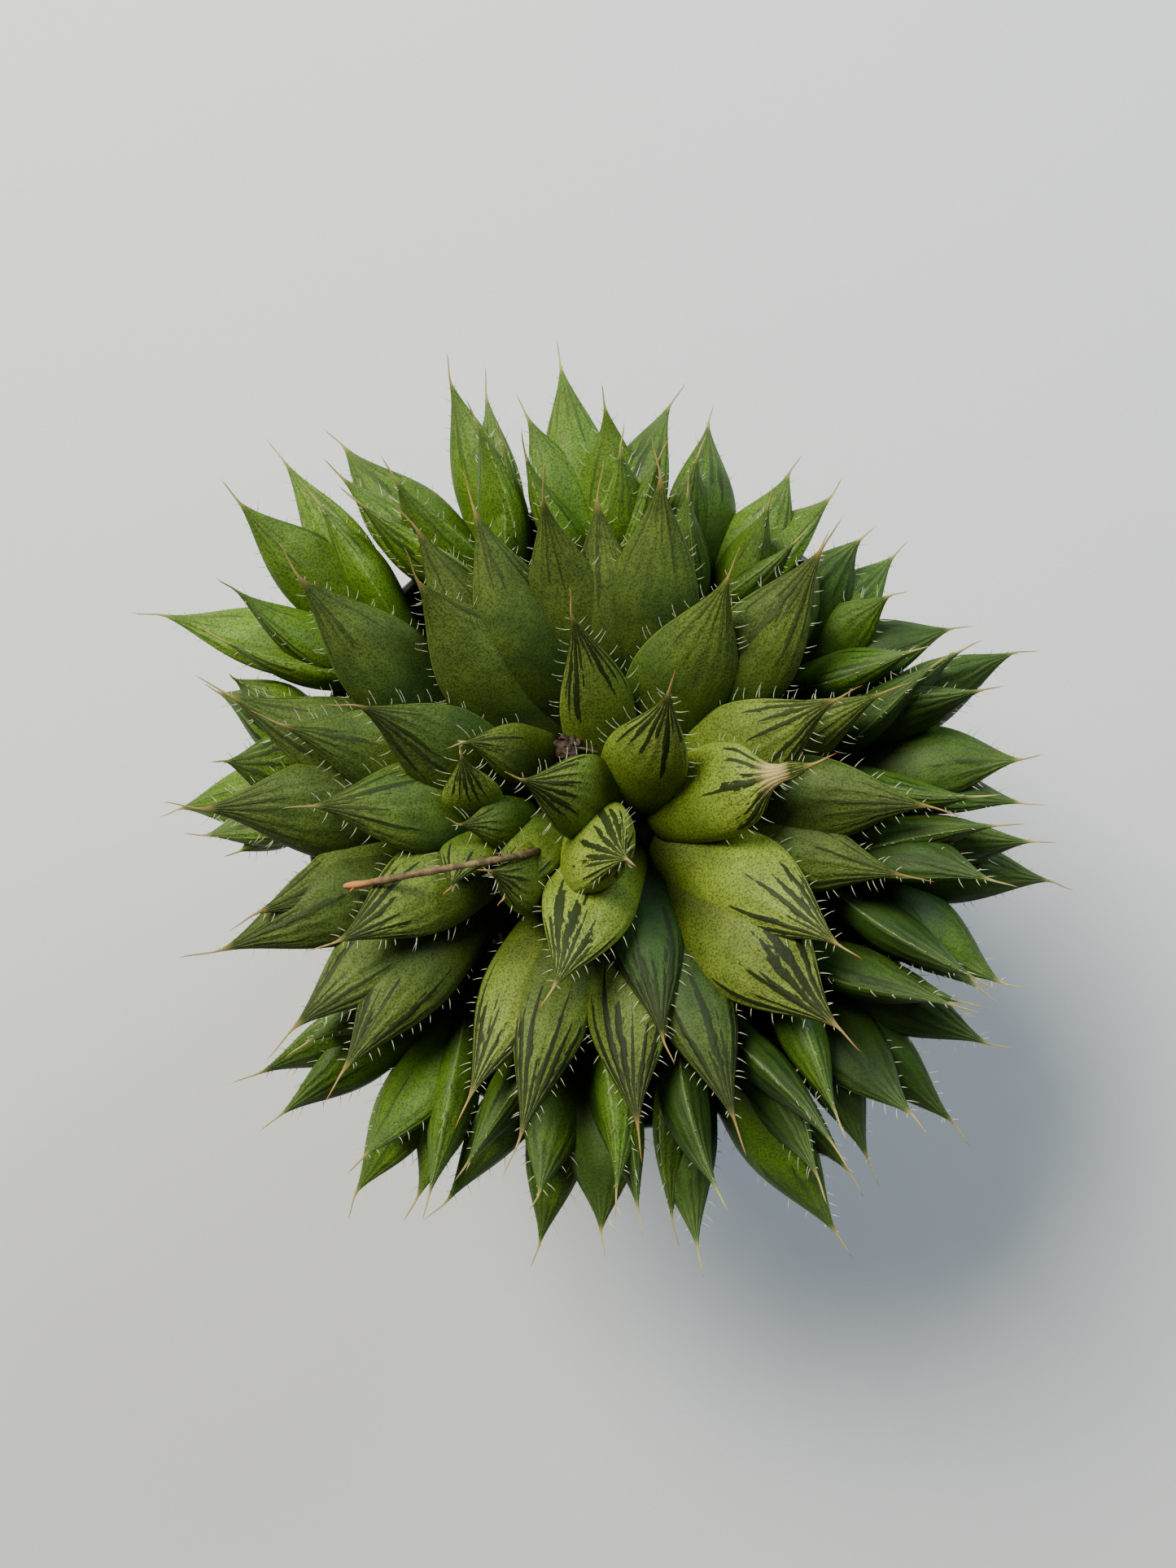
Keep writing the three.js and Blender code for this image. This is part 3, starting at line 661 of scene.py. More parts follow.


def addStem(bm, x, y, radius, top, layers):  # a plain stem with the scars of shed leaves
    foot = clump["stemFoot"]

    def stem(along, around):
        height = mix(foot, top, np.clip(along * 1.1 - 0.05, 0, 1))
        ring = radius * (1 - 0.07 * np.abs(np.sin(height * 1.9 + around * 0.5)))
        ring = ring * np.sqrt(np.clip(np.minimum(along, 1 - along) * 14, 0, 1))
        return np.stack([x + ring * np.cos(around), y + ring * np.sin(around), height], 1)

    for vert in addDrawn(bm, 16, 28, stem, 0, layers, ((0.3, 0.4, 0.0), hiddenMarksAndShade)):
        vert[layers[0]][0] = 0.1  # keeps the painted shade of a leaf's root all the way up


def addCrown(bm, centre, size, layers):
    def crown(along, around):
        tilt = (along - 0.5) * math.pi
        flat = np.cos(tilt)
        bumps = 1 + 0.05 * np.sin(around * 5 + along * 9)
        return np.stack([centre[0] + size[0] * flat * np.cos(around) * bumps,
                         centre[1] + size[1] * flat * np.sin(around) * bumps,
                         centre[2] + size[2] * np.sin(tilt)], 1)

    for vert in addDrawn(bm, 24, 14, crown, 0, layers, ((0.6, 0.5, 0.0), hiddenMarksAndShade)):
        # painted root shade on the crown as well
        vert[layers[0]][0] = 0.12


def addLeaf(whole, leaf, plant, toneAndLight, marksAndLight):
    bm, layers = newRosette()
    place, kind = layers[:2]
    # the leaf's seed, its random tone with painted sunlight, and its dry share
    seedLightDry = (chance(leaf["seed"] + 0.11), toneAndLight, 0.0)
    made = addDrawn(bm, plant["sides"], plant["rings"],
                    lambda along, around: leafSurface(leaf, along, around, True),
                    0, layers, (seedLightDry, marksAndLight))
    if "dryBand" in leaf:
        low, high = leaf["dryBand"]
        for vert in made:
            share = (vert[place][0] - low) / (high - low)
            if 0 < share < 1:
                vert[kind] = (seedLightDry[0], seedLightDry[1], math.sin(share * math.pi) * plant["dryShare"])
    addBristles(bm, leaf, plant, layers)
    addPart(whole, bm)


# The old plant in the middle

growingPoints = {
    "middle": (0.3, 0), "heart": (-6, -3), "elbow": (-9.5, -9), "upper": (-8, 7),
    "fold": (-11, -1.5), "left": (-10, 0.5), "young": (-19.5, -2),
}
oldPlant = {
    "longestReach": 48, "root": (0.6, 9), "rootHeight": (6, -1.5),
    "youngHeight": 87, "youngSize": (4, 4, 6), "youngLift": 2,
    "sides": 24, "rings": 38, "bristleSpacing": 1.7, "keelBristles": 7,
    "rootShadeReaches": (0.2, 0.6),         # how far up a leaf the painted shade at its root goes, by age
    # a random tone per leaf, and painted sunlight that brightens the young lit leaves
    "shades": (0.78, 1.0), "litBrightening": (0.92, 1.28),
    "dryLeaf": ("middle", 13),    # has a dry, shrunken neck under its long awn
    "dryBand": (0.62, 0.76), "dryShare": 0.72,
}
# by growing point: azimuth in degrees, reach, rise of the tip, width, how lit as painted sunlight
# against painted shade, how marked
oldLeaves = {
    "heart": [(-30, 8.6, 30, 13.4, 1, 1.3)],
    "elbow": [(173, 9, 25, 10, 0.6, 1)],
    "middle": [
        (68, 18.3, 32, 11.6, 0.9, 1.35), (159, 15.5, 31, 11.6, 0.5, 1.2),
        (13, 27, 30, 12.8, 1, 1.55), (104.6, 28.5, 30, 10.4, 0.6, 1.3),
        (-111, 26.5, 28, 12.6, 0.95, 1.05), (-81, 33, 21.5, 10, 0, 1.6),
        (67, 36, 28, 14.2, 0.35, 0.5), (29, 33.5, 27, 13.4, 0.7, 1),
        (-30, 35, 26, 13.8, 1, 1.1), (-46.7, 44, 21, 16.4, 0.95, 1.05),
        (105.3, 45, 28, 11.6, 0.35, 0.6), (133, 43.5, 26, 14.4, 0.3, 0.6),
        (83.2, 48, 25, 12.8, 0.3, 0.6), (51.3, 47, 24, 13, 0.35, 0.7),
        (-119.7, 46, 22, 11.2, 0.8, 1.3), (-89, 46, 20, 12, 0.6, 1.3),
        (24, 41, 21, 10.5, 0.35, 0.7), (3.4, 45, 19, 12.8, 0.3, 0.7),
        (-12, 42, 18, 12, 0.3, 0.8), (94, 47, 18, 12, 0.3, 0.6),
        (115, 50, 19, 12.6, 0.3, 0.6), (126, 52, 18, 12, 0.3, 0.6),
        (-107, 52, 16, 10.6, 0.5, 1.2), (-69.4, 50, 16, 11, 0.25, 1),
    ],
    "left": [
        (149.3, 30, 27, 12.4, 0.3, 0.9), (160.5, 39, 24, 12.6, 0.25, 0.7),
        (177.6, 32.5, 26, 13, 0.3, 0.9), (137.7, 48, 24, 12.8, 0.25, 0.6),
        (-146.4, 34.5, 26, 12.6, 0.55, 1.1), (-161, 43.5, 22, 12.4, 0.35, 0.9),
        (180, 51, 18, 14.6, 0.25, 0.7), (-155.4, 53, 17, 13, 0.3, 0.7),
        (161, 50, 18, 12.8, 0.25, 0.7), (-138.3, 50, 17, 12.6, 0.35, 0.9),
        (-128.4, 49, 18, 12, 0.4, 1), (-112, 14, 20, 8.5, 0.5, 1.1),
    ],
    "upper": [(168, 15, 20, 8, 0.45, 1)],
    "fold": [(178, 12, 19, 7.5, 0.3, 0.9)],
    "young": [
        (97, 11, 22, 8, 0.6, 1.2), (-110, 9, 21, 7.5, 0.6, 1.1),
    ],
}


def shrunkenNeck(along):  # half as wide just under the awn
    return 1 - 0.5 * ease((along - 0.52) / 0.15) * (1 - ease((along - 0.7) / 0.1))


bm, layers = newRosette()
addStem(bm, 0, 0, clump["mainStem"], clump["crownHeight"] + clump["apex"], layers)
addCrown(bm, (*clump["crownCentre"], clump["crownHeight"]), clump["crownSize"], layers)
addCrown(bm, (*growingPoints["young"], oldPlant["youngHeight"]), oldPlant["youngSize"], layers)
rows = [(spot, *row) for spot, group in oldLeaves.items() for row in group]
for index, (spot, azimuth, reach, rise, width, litAmount, marked) in enumerate(rows):
    outward, across = compass(azimuth)
    centre = np.array([*growingPoints[spot], clump["crownHeight"]], float)
    age = min(reach / oldPlant["longestReach"], 1) ** 2
    root = centre + outward * mix(*oldPlant["root"], age)
    root[2] += mix(*oldPlant["rootHeight"], age) + (oldPlant["youngLift"] if spot == "young" else 0)
    tip = centre + outward * reach
    tip[2] += rise
    bow = math.radians(mix(*leafCurve["mainBow"], age))
    leaf = makeLeaf(root, tip, width, bow, across, age, index + 1)
    settleLeaf(leaf, [aboveBowl])
    if (spot, azimuth) == oldPlant["dryLeaf"]:
        leaf["dryBand"] = oldPlant["dryBand"]
        leaf["waist"] = shrunkenNeck
    # a random tone, brightened as painted sunlight on young leaves painted as lit
    toneAndLight = mix(*oldPlant["shades"], chance(index + 40.7))
    toneAndLight *= mix(*oldPlant["litBrightening"], litAmount * (1 - age))
    marksAndLight = (marked, litAmount, mix(*oldPlant["rootShadeReaches"], age))
    addLeaf(bm, leaf, oldPlant, toneAndLight, marksAndLight)
mainRosette = finishPiece(bm, "rosette_main_leaves", [leafMature, bristle])
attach(mainRosette, "root")
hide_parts("rosette_main")
say(f"old plant: {len(mainRosette.data.polygons)} faces")


# The young offsets round it

# azimuth in degrees, reach of the tips, number of leaves
offsetRows = [
    (172, 66, 9), (145, 76.5, 10), (120, 72, 10), (94, 66.5, 10),
    (70, 60, 9), (40, 58, 10), (14, 64.5, 10), (-14, 67.5, 10),
    (-42, 68, 10), (-70, 70, 10), (-101, 66.5, 10), (-131, 72.5, 9),
]
offsets = {
    "circle": 28, "shift": 0.5, "stretch": 1.05,
    "height": 80, "tilt": 46, "core": 3.4, "stem": 2.4,
    "leafWidth": 10.8, "age": 0.72,
    "spread": (8, 52), "spreadPower": 0.7, "turn": 70,
    "rootOut": 1.2, "youngest": 0.82,
    "lengths": (0.94, 1.04), "widths": (0.82, 1.08),
    "halfSector": 15, "goldenAngle": 137.508, "steepest": 0.78,
    "rimClearance": 0.6, "droopStart": 4, "droop": 0.9,
    "sides": 20, "rings": 28,
    "bristleSpacing": 2.1, "keelBristles": 4,
    # painted sunlight and shade on the offsets: mostShadedAzimuth is where they are painted
    # darkest, sunSpread varies it leaf by leaf; depth is how far up the painted root shade goes
    "mostShadedAzimuth": -25, "sunSpread": 0.25,
    "depth": 0.45, "shades": (0.8, 1.1), "marks": (0.5, 1.1),
}


def offsetPlace(azimuth):
    outward = compass(azimuth)[0]
    shift = max(0, clump["bowlStartX"] * outward[0]) * offsets["shift"]
    return outward * (offsets["circle"] + shift)


def offsetLitAmount(azimuth):  # painted sunlight and shade: the offsets on the left are painted a brighter, lit yellow-green, those at the lower right a darker green, as if shaded by the old plant
    return 0.5 - 0.45 * math.cos(math.radians(azimuth - offsets["mostShadedAzimuth"]))


def sectorEdges(index):
    own = offsetRows[index][0]
    turns = [((row[0] - own + 540) % 360) - 180 for row in offsetRows if row[0] != own]
    left = min(turn for turn in turns if turn > 0) / 2
    right = max(turn for turn in turns if turn < 0) / 2
    return own + min(left, offsets["halfSector"]), own - min(-right, offsets["halfSector"])


def offsetWalls(outward, before, after):
    walls = []
    for edge, sign in ((before, 1), (after, -1)):
        normal = compass(edge)[1] * sign
        walls.append(flatWall(normal, -clump["gap"] / 2 - settling["margin"]))
    steepness = math.hypot(1, clump["bowlSlope"])
    support = max(0, clump["bowlStartX"] * outward[0])
    slopes = -outward[:2] * clump["bowlSlope"]
    roof = np.array([*slopes, 1]) / steepness
    roofHeight = clump["bowlHeight"] - clump["bowlSlope"] * support - clump["gap"] / 2
    walls.append(flatWall(roof, roofHeight / steepness))
    walls.append(flatWall(-outward, -offsets["circle"] / 2))

    def overRim(points):
        fromAxis = np.hypot(points[:, 0], points[:, 1])
        past = np.maximum(fromAxis - clump["rimRadius"] - offsets["droopStart"], 0)
        lowest = clump["rimHeight"] + offsets["rimClearance"] - offsets["droop"] * past
        return lowest - points[:, 2], np.tile(np.array([0.0, 0.0, 1.0]), (len(points), 1))

    walls.append(overRim)
    return walls


for index, (azimuth, reach, leafCount) in enumerate(offsetRows):
    outward, sideways = compass(azimuth)
    walls = offsetWalls(outward, *sectorEdges(index))
    tilt = math.radians(offsets["tilt"])
    axis = outward * math.sin(tilt) + np.array([0, 0, math.cos(tilt)])
    downward = outward * math.cos(tilt) - np.array([0, 0, math.sin(tilt)])
    heart = offsetPlace(azimuth)
    heart[2] = offsets["height"]
    bm, layers = newRosette()
    addStem(bm, heart[0], heart[1], offsets["stem"], offsets["height"] + 1, layers)
    addCrown(bm, heart, (offsets["core"],) * 3, layers)
    for number in range(leafCount):
        seed = 100 * (index + 1) + number
        share = number / (leafCount - 1)
        spread = math.radians(mix(*offsets["spread"], share ** offsets["spreadPower"]))
        turn = math.radians(offsets["goldenAngle"] * number + offsets["turn"] * index)
        direction = axis * math.cos(spread)
        direction = direction + downward * math.cos(turn) * math.sin(spread)
        direction = direction + sideways * math.sin(turn) * math.sin(spread)
        if direction[2] > offsets["steepest"]:
            continue
        longest = (reach - math.hypot(heart[0], heart[1])) * offsets["stretch"]
        growth = mix(offsets["youngest"], 1, share)
        length = longest * growth * mix(*offsets["lengths"], chance(seed + 0.25))
        root = heart + direction * offsets["rootOut"]
        tip = heart + direction * length
        across = unit(np.cross(axis, direction))
        width = offsets["leafWidth"] * mix(*offsets["widths"], chance(seed + 0.75))
        bow = math.radians(leafCurve["offsetBow"])
        leaf = makeLeaf(root, tip, width, bow, across, offsets["age"], seed)
        if not settleLeaf(leaf, walls):
            continue
        litAmount = offsetLitAmount(azimuth)
        litAmount += mix(-offsets["sunSpread"], offsets["sunSpread"], chance(seed + 0.8))
        toneAndLight = mix(*offsets["shades"], chance(seed + 0.4))
        marked = mix(*offsets["marks"], chance(seed + 0.6))
        marksAndLight = (marked, float(np.clip(litAmount, 0, 1)), offsets["depth"])
        addLeaf(bm, leaf, offsets, toneAndLight, marksAndLight)
    offset = finishPiece(bm, f"rosette_offset_{index + 1}_leaves", [leafYoung, bristle])
    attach(offset, "root")
    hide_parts(f"rosette_offset_{index + 1}")
say("offsets are placed")


# Pot: a turned shell with a collar, drain holes and the grooves that lead out of them

pot = {
    "rim": 46, "height": 80, "base": 33, "wall": 1.4,
    "collar": 11, "collarStep": 1.6, "collarFlare": 1.4, "collarDraft": 0.4,
    "lip": 1, "stepRise": 1.5, "foot": 1.2, "floor": 1.6, "steps": 96,
    "drains": 6, "drainRadius": 4, "drainCircle": 22, "drainSteps": 32, "groove": 5,
    "edgeRadius": 0.35, "sharpest": 35, "dustyTop": (0.066, 0.08), "dustyFoot": (0.02, 0.0),
    "scuffPlace": (0.3, 0.3, 9.0), "scuffScale": 160,
    "cloudScale": 38, "fineScale": 900, "speckScale": 520,
    "plastic": (34, 32, 31), "worn": (62, 59, 56), "dust": (128, 112, 92), "lime": (170, 166, 156),
}


def potMaterial():
    paint = Nodes("pot_black_plastic")
    where = paint.objectPlace()
    places = paint.split(where)
    cloud = paint.noise(where, pot["cloudScale"], 4, 0.6)
    fine = paint.noise(where, pot["fineScale"], 3, 0.6)
    flattened = [paint.times(place, factor) for place, factor in zip(places, pot["scuffPlace"])]
    scuffs = paint.noise(paint.vector(*flattened), pot["scuffScale"], 3, 0.7)
    specks = paint.noise(where, pot["speckScale"], 2, 0.8)
    colour = paint.blend(paint.step(cloud, 0.35, 0.8, 0.0, 0.55), pot["plastic"], pot["worn"])
    colour = paint.blend(paint.step(scuffs, 0.62, 0.78, 0.0, 0.4), colour, pot["worn"])
    nearRim = paint.step(places[2], *pot["dustyTop"])
    nearFoot = paint.step(places[2], *pot["dustyFoot"])
    dusty = paint.scaled(paint.math("MAXIMUM", nearRim, nearFoot), 0.5, 0.08)
    dust = paint.times(paint.step(specks, 0.52, 0.72), dusty)
    colour = paint.blend(dust, colour, pot["dust"])
    lime = paint.times(paint.step(cloud, 0.5, 0.7), paint.times(nearRim, 0.3))
    colour = paint.blend(lime, colour, pot["lime"])
    rough = paint.math("ADD", paint.scaled(cloud, 0.3, 0.3), paint.times(dust, 0.4))
    paint.set(Base_Color=colour, Roughness=rough, Normal=paint.bump(fine, 0.00006, 0.5))
    return paint.material


rim, height, base, foot = pot["rim"], pot["height"], pot["base"], pot["foot"]
wall, draft = pot["wall"], pot["collarDraft"]
shoulder = height - pot["collar"]
bodyTop = rim - pot["collarStep"]
slope = (bodyTop - base) / shoulder
floorTop = foot + pot["floor"]
potOutline = [
    (0, 0),
    (base - foot, 0),
    (base, foot),
    (bodyTop, shoulder - pot["stepRise"]),
    (rim - draft, shoulder),
    (rim, shoulder + pot["collarFlare"]),
    (rim, height - pot["lip"]),
    (rim - pot["lip"] / 2, height),
    (rim - wall, height),
    (rim - wall - draft, shoulder + pot["collarFlare"]),
    (bodyTop - wall - draft, shoulder - pot["stepRise"]),
    (base + slope * floorTop - wall, floorTop),
    (0, floorTop),
]


def turnedShell(outline, steps):  # an outline of (radius, height) spun round the pot's axis
    bm = bmesh.new()
    verts = [bm.verts.new((radius * mm, 0, height * mm)) for radius, height in outline]
    edges = [bm.edges.new(pair) for pair in zip(verts, verts[1:])]
    bmesh.ops.spin(bm, geom=verts + edges, cent=(0, 0, 0), axis=(0, 0, 1), dvec=(0, 0, 0),
                   angle=tau, steps=steps, use_merge=True)
    bmesh.ops.remove_doubles(bm, verts=bm.verts, dist=1e-6)
    bmesh.ops.recalc_face_normals(bm, faces=bm.faces)
    return bm


bm = turnedShell(potOutline, pot["steps"])
ringEdges = [edge for edge in bm.edges
             if abs(edge.verts[0].co.z - edge.verts[1].co.z) < 1e-7
             and abs(edge.verts[0].co.xy.length - edge.verts[1].co.xy.length) < 1e-6
             and len(edge.link_faces) == 2 and edge.calc_face_angle(0) > 0.15]
bmesh.ops.bevel(bm, geom=ringEdges, offset=pot["edgeRadius"] * mm, affect="EDGES",
                segments=2, profile=0.5, material=-1)
for face in bm.faces:
    face.smooth = True
potPiece = finishPiece(bm, "pot_shell", [potMaterial()])

# the drain holes and grooves are cut by two pieces that are thrown away
drains, grooves = bmesh.new(), bmesh.new()
for index in range(pot["drains"]):
    angle = index / pot["drains"] * tau
    radius = pot["drainRadius"] * mm
    drain = bmesh.ops.create_cone(drains, cap_ends=True, segments=pot["drainSteps"],
                                  radius1=radius, radius2=radius, depth=floorTop * 4 * mm)["verts"]
    x, y = pot["drainCircle"] * math.cos(angle), pot["drainCircle"] * math.sin(angle)
    bmesh.ops.translate(drains, verts=drain, vec=(x * mm, y * mm, 0))
    groove = bmesh.ops.create_cube(grooves, size=1)["verts"]
    size = (base * mm, pot["groove"] * mm, foot * 2 * mm)
    bmesh.ops.scale(grooves, verts=groove, vec=size)
    middle = (pot["drainCircle"] + base / 2) * mm
    bmesh.ops.translate(grooves, verts=groove, vec=(middle, 0, 0))
    bmesh.ops.rotate(grooves, verts=groove, cent=(0, 0, 0), matrix=Matrix.Rotation(angle, 3, "Z"))
cutters = [finishPiece(drains, "drain_cutters", []), finishPiece(grooves, "groove_cutters", [])]
for cutter in cutters:
    cut = potPiece.modifiers.new("cut", "BOOLEAN")
    cut.operation = "DIFFERENCE"
    cut.object = cutter
    cut.solver = "EXACT"
depsgraph = bpy.context.evaluated_depsgraph_get()
cutMesh = bpy.data.meshes.new_from_object(potPiece.evaluated_get(depsgraph))
potPiece.modifiers.clear()
potPiece.data = cutMesh
for cutter in cutters:
    bpy.data.objects.remove(cutter)
potPiece.data.set_sharp_from_angle(angle=math.radians(pot["sharpest"]))
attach(potPiece, "root")
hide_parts("pot")
say(f"pot: {len(potPiece.data.polygons)} faces")


# Soil: an uneven crust with grit on it

soil = {
    "edge": 73.5, "heap": 1.5, "sideGap": 0.45, "gap": 0.3, "ripple": 0.45,
    "rippleAlong": (0.31, 1.3), "rippleAcross": (0.27, 0.4), "rippleSlant": (0.12, 0.43, 0.6),
    "roughness": 0.5, "steps": 96, "rings": 26, "grains": 620, "grainSize": (0.35, 1.3),
    "stretch": (0.7, 1.25), "crumbScale": 420, "patchScale": 70,
    "stoneScale": 160, "poreScale": 2600,
    "earth": (74, 57, 43), "wet": (40, 30, 23), "bark": (92, 62, 40), "pumice": (186, 178, 160),
}


def soilHeight(x, y):
    radius = math.hypot(x, y) / rim
    first, second = soil["rippleAlong"], soil["rippleAcross"]
    slant = soil["rippleSlant"]
    ripples = math.sin(x * first[0] + first[1]) * math.cos(y * second[0] - second[1])
    ripples += slant[2] * math.sin(x * slant[0] - y * slant[1])
    return soil["edge"] + soil["heap"] * (1 - radius * radius) + soil["ripple"] * ripples


def soilMaterial():
    paint = Nodes("soil_mix")
    where = paint.objectPlace()
    crumbs = paint.noise(where, soil["crumbScale"], 5, 0.7)
    patches = paint.noise(where, soil["patchScale"], 3)
    colour = paint.blend(paint.step(crumbs, 0.4, 0.62), soil["wet"], soil["earth"])
    colour = paint.blend(paint.step(patches, 0.5, 0.75, 0.0, 0.6), colour, soil["bark"])
    normal = paint.bump(crumbs, 0.0006, 0.8)
    paint.set(Base_Color=colour, Roughness=0.92, Normal=normal)
    return paint.material


def gritMaterial():
    paint = Nodes("soil_grit")
    where = paint.objectPlace()
    stone = paint.noise(where, soil["stoneScale"], 1)
    pores = paint.noise(where, soil["poreScale"], 3, 0.7)
    colour = paint.blend(paint.step(stone, 0.42, 0.5), soil["bark"], soil["pumice"])
    colour = paint.blend(paint.step(pores, 0.5, 0.7, 0.0, 0.5), colour, soil["wet"])
    paint.set(Base_Color=colour, Roughness=0.88, Normal=paint.bump(pores, 0.0002, 0.7))
    return paint.material


inset = wall + soil["sideGap"]
topRadius = rim - draft - inset
soilOutline = [
    (0, floorTop + soil["gap"]),
    (base + slope * floorTop - inset, floorTop + soil["gap"]),
    (bodyTop - draft - inset, shoulder - pot["stepRise"] - soil["gap"]),
    (topRadius, shoulder + pot["collarFlare"]),
]
soilOutline += [(topRadius * (1 - ring / soil["rings"]), soil["edge"])
                for ring in range(soil["rings"] + 1)]
bm = turnedShell(soilOutline, soil["steps"])
for vert in bm.verts:
    if vert.co.z > (soil["edge"] - 0.3) * mm:
        x, y = vert.co.x / mm, vert.co.y / mm
        rough = noise.fractal(Vector((x * 0.5, y * 0.5, 3.1)), 0.8, 2.0, 4)
        vert.co.z = (soilHeight(x, y) + rough * soil["roughness"]) * mm
for face in bm.faces:
    face.smooth = True
grit = bmesh.new()
for index in range(soil["grains"]):
    radius = topRadius * 0.97 * math.sqrt(chance(index * 1.7 + 5000))
    angle = tau * chance(index * 2.3 + 6000)
    size = mix(*soil["grainSize"], chance(index + 7000) ** 2.2)
    grain = bmesh.ops.create_icosphere(grit, subdivisions=1, radius=size * mm)["verts"]
    x, y = radius * math.cos(angle), radius * math.sin(angle)
    stretch = [mix(*soil["stretch"], chance(index * 3 + part + 8000)) for part in range(3)]
    bmesh.ops.scale(grit, verts=grain, vec=stretch)
    lift = soilHeight(x, y) + size * 0.35
    bmesh.ops.translate(grit, verts=grain, vec=(x * mm, y * mm, lift * mm))
for face in grit.faces:
    face.material_index = 1
addPart(bm, grit)
soilPiece = finishPiece(bm, "soil_crust", [soilMaterial(), gritMaterial()])
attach(soilPiece, "root")
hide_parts("soil")
say(f"soil: {len(soilPiece.data.polygons)} faces")


# The dry flower stalk and the scrap of dry flower

stalk = {
    "radius": 0.46, "sides": 12, "rings": 60, "ridges": 0.14,
    "route": [(-9, -4, 86), (-12.3, -5.2, 100), (-18, -6.2, 105.6),
              (-26, -7.6, 104.5), (-33, -9, 101), (-37, -9.6, 98.6)],
    "fibres": 5, "fibreRadius": 0.17,
    "brown": (116, 98, 60), "dark": (62, 50, 30), "end": (190, 118, 64), "grainScale": 700,
}
scrap = {
    "centre": (-6.9, 8.9, 98.9), "size": (2.4, 1.5, 1.3), "petals": 9,
    "twig": [(-7.2, 8.9, 98.9), (-5.2, 8.6, 99.2), (-3, 8, 99.5)],
    "twigRadius": 0.2, "reach": (0.9, 1.7), "petalWidth": 0.75, "petalThickness": 0.2,
    "brown": (66, 44, 25), "dark": (28, 18, 9), "grainScale": 1400,
}


def dryMaterial(name, look):
    paint = Nodes(name)
    where = paint.objectPlace()
    fibre = paint.noise(where, look["grainScale"], 4, 0.7, 0.6)
    spots = paint.noise(where, look["grainScale"] * 0.3, 2)
    colour = paint.blend(paint.step(fibre, 0.38, 0.66), look["dark"], look["brown"])
    if "end" in look:  # the broken end of the stalk is lighter
        x = paint.split(where)[0]
        colour = paint.blend(paint.step(x, -0.031, -0.036, 0.0, 0.8), colour, look["end"])
    colour = paint.blend(paint.step(spots, 0.55, 0.8, 0.0, 0.4), colour, look["dark"])
    paint.set(Base_Color=colour, Roughness=0.8, Normal=paint.bump(fibre, 0.0001, 0.8))
    return paint.material


def routePoint(route, share):  # a smooth line through the route's points
    points = np.array(route, float)
    ends = np.vstack([2 * points[0] - points[1], points, 2 * points[-1] - points[-2]])
    place = np.clip(share, 0, 1) * (len(points) - 1)
    index = np.minimum(place.astype(int), len(points) - 2)
    part = (place - index)[:, None]
    a, b, c, d = ends[index], ends[index + 1], ends[index + 2], ends[index + 3]
    return 0.5 * (2 * b + (c - a) * part
                  + (2 * a - 5 * b + 4 * c - d) * part ** 2
                  + (3 * b - a - 3 * c + d) * part ** 3)


def addTwig(bm, route, radius, sides, rings, ridges=0.0):
    def twig(along, around):
        centre = routePoint(route, along)
        ahead = routePoint(route, along + 0.01) - routePoint(route, along - 0.01)
        ahead /= np.linalg.norm(ahead, axis=1)[:, None]
        one = np.cross(ahead, (0.1, 0.2, 0.97))
        one /= np.linalg.norm(one, axis=1)[:, None]
        two = np.cross(ahead, one)
        thick = radius * np.sqrt(np.clip(np.minimum(along, 1 - along) * 30, 0, 1))
        thick = thick * (1 + ridges * np.sin(around * 5 + along * 6))
        thick = thick * (1 + 0.12 * np.sin(along * 37))
        return (centre + one * (np.cos(around) * thick)[:, None]
                + two * (np.sin(around) * thick)[:, None])

    addDrawn(bm, sides, rings, twig)


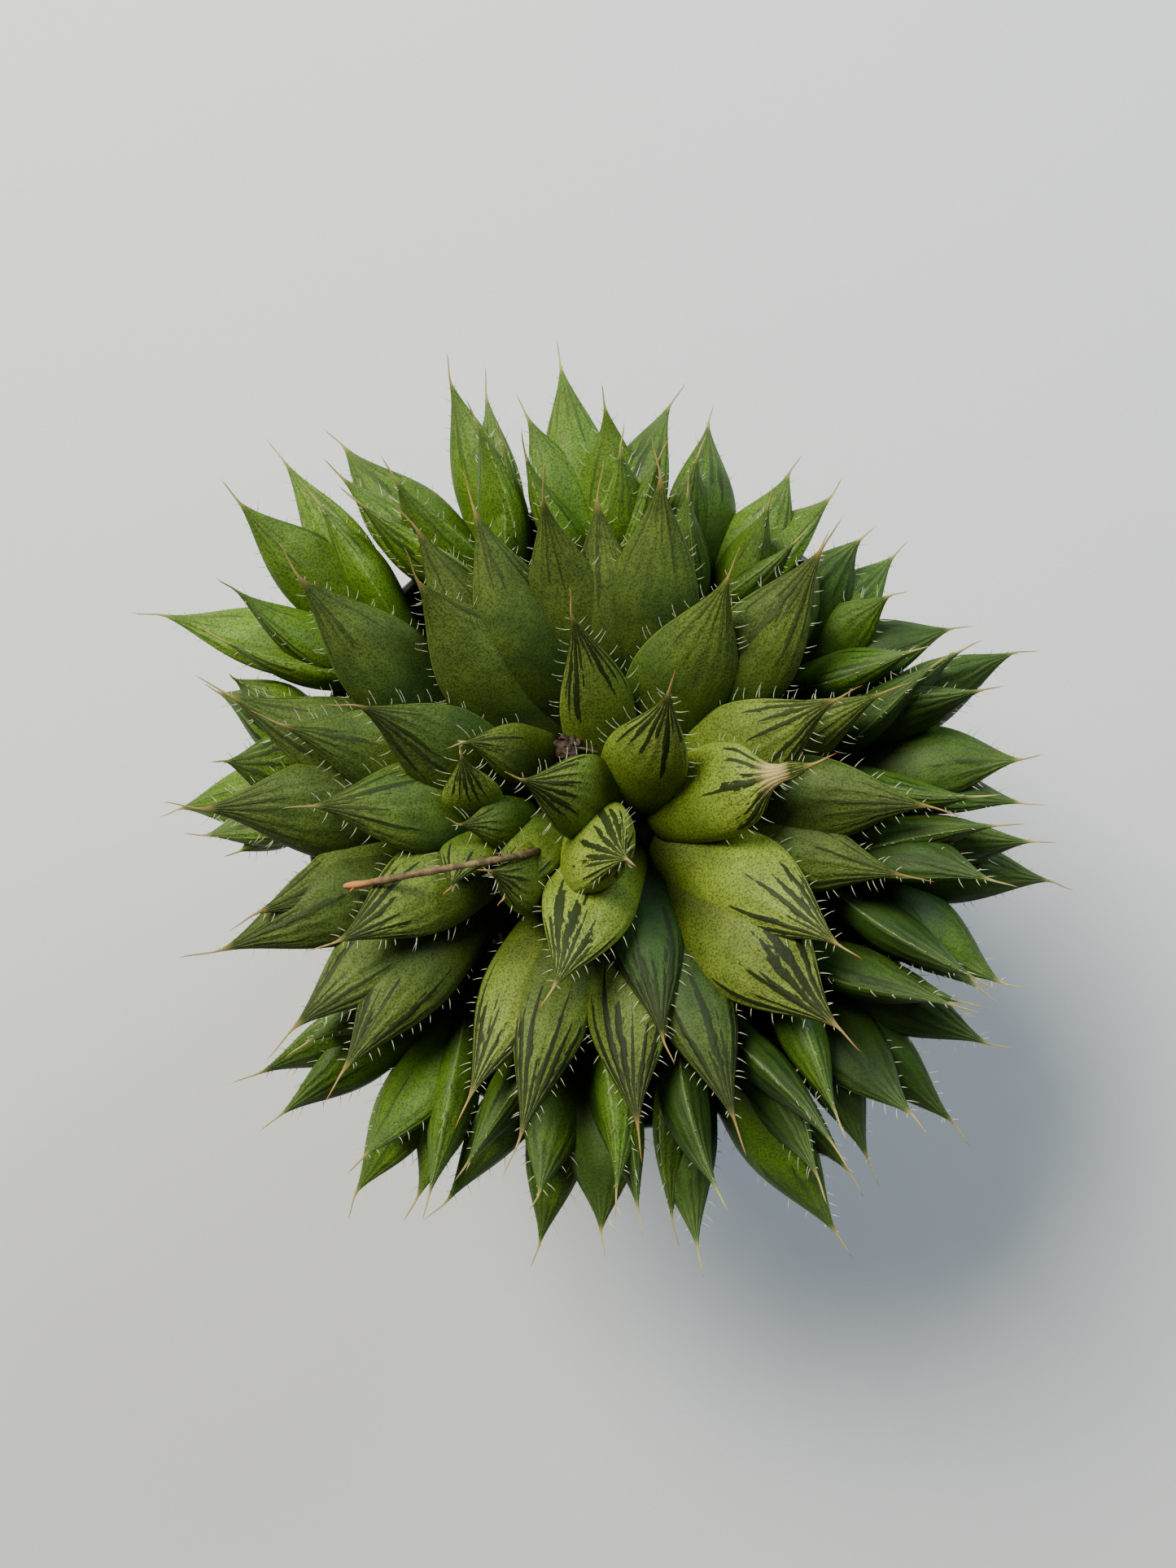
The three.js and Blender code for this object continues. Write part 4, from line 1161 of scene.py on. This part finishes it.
bm = bmesh.new()
addTwig(bm, stalk["route"], stalk["radius"], stalk["sides"], stalk["rings"], stalk["ridges"])
for index in range(stalk["fibres"]):
    spread = (chance(index + 900) - 0.5) * 1.6
    lift = (chance(index + 950) - 0.5) * 1.2
    end = (-37 - 0.9 * chance(index + 970) + 1.4, -9.6 + spread, 98.8 + lift * 0.6)
    fibre = [(-33.5, -9.1, 100.8), (-35, -9.3 + spread * 0.3, 100.1), end]
    addTwig(bm, fibre, stalk["fibreRadius"], 5, 8)
bmesh.ops.recalc_face_normals(bm, faces=bm.faces)
stalkPiece = finishPiece(bm, "dry_flower_stalk_fibres", [dryMaterial("dry_stalk", stalk)])
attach(stalkPiece, "root")
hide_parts("dry_flower_stalk")

bm = bmesh.new()
for index in range(scrap["petals"]):
    lean = tau * chance(index + 300)
    pitch = (chance(index + 320) - 0.5) * 2.2
    offCentre = np.array([(chance(index + part * 20 + 340) - 0.5) * size * 1.1
                          for part, size in enumerate(scrap["size"])])
    ahead = np.array([math.cos(lean) * math.cos(pitch),
                      math.sin(lean) * math.cos(pitch), math.sin(pitch)])
    one = unit(np.cross(ahead, (0.3, 0.1, 0.9)))
    two = np.cross(ahead, one)
    reach = mix(*scrap["reach"], chance(index + 400))

    def petal(along, around):
        width = np.sin(along * math.pi) ** 0.7
        crumple = 0.22 * np.sin(along * 9 + around * 3 + index) + 0.15 * np.sin(around * 5 - index)
        centre = np.array(scrap["centre"]) + offCentre
        centre = centre + ahead * ((along - 0.5) * 2 * reach)[:, None]
        thick = np.sin(around) * scrap["petalThickness"] + crumple
        return (centre + one * (np.cos(around) * width * scrap["petalWidth"])[:, None]
                + two * (thick * width)[:, None])

    addDrawn(bm, 12, 10, petal)
addTwig(bm, scrap["twig"], scrap["twigRadius"], 6, 14)
bmesh.ops.recalc_face_normals(bm, faces=bm.faces)
scrapPiece = finishPiece(bm, "dry_flower_scrap_petals", [dryMaterial("dry_scrap", scrap)])
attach(scrapPiece, "root")
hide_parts("dry_flower_scrap")
say("stalk and scrap are laid")


# Sizes of the solids and of the dressed part

sizes = {"cad": [list(corner) for corner in cadBounds],
         "visual": [list(corner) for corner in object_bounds()]}
say(f"sizes {sizes}")
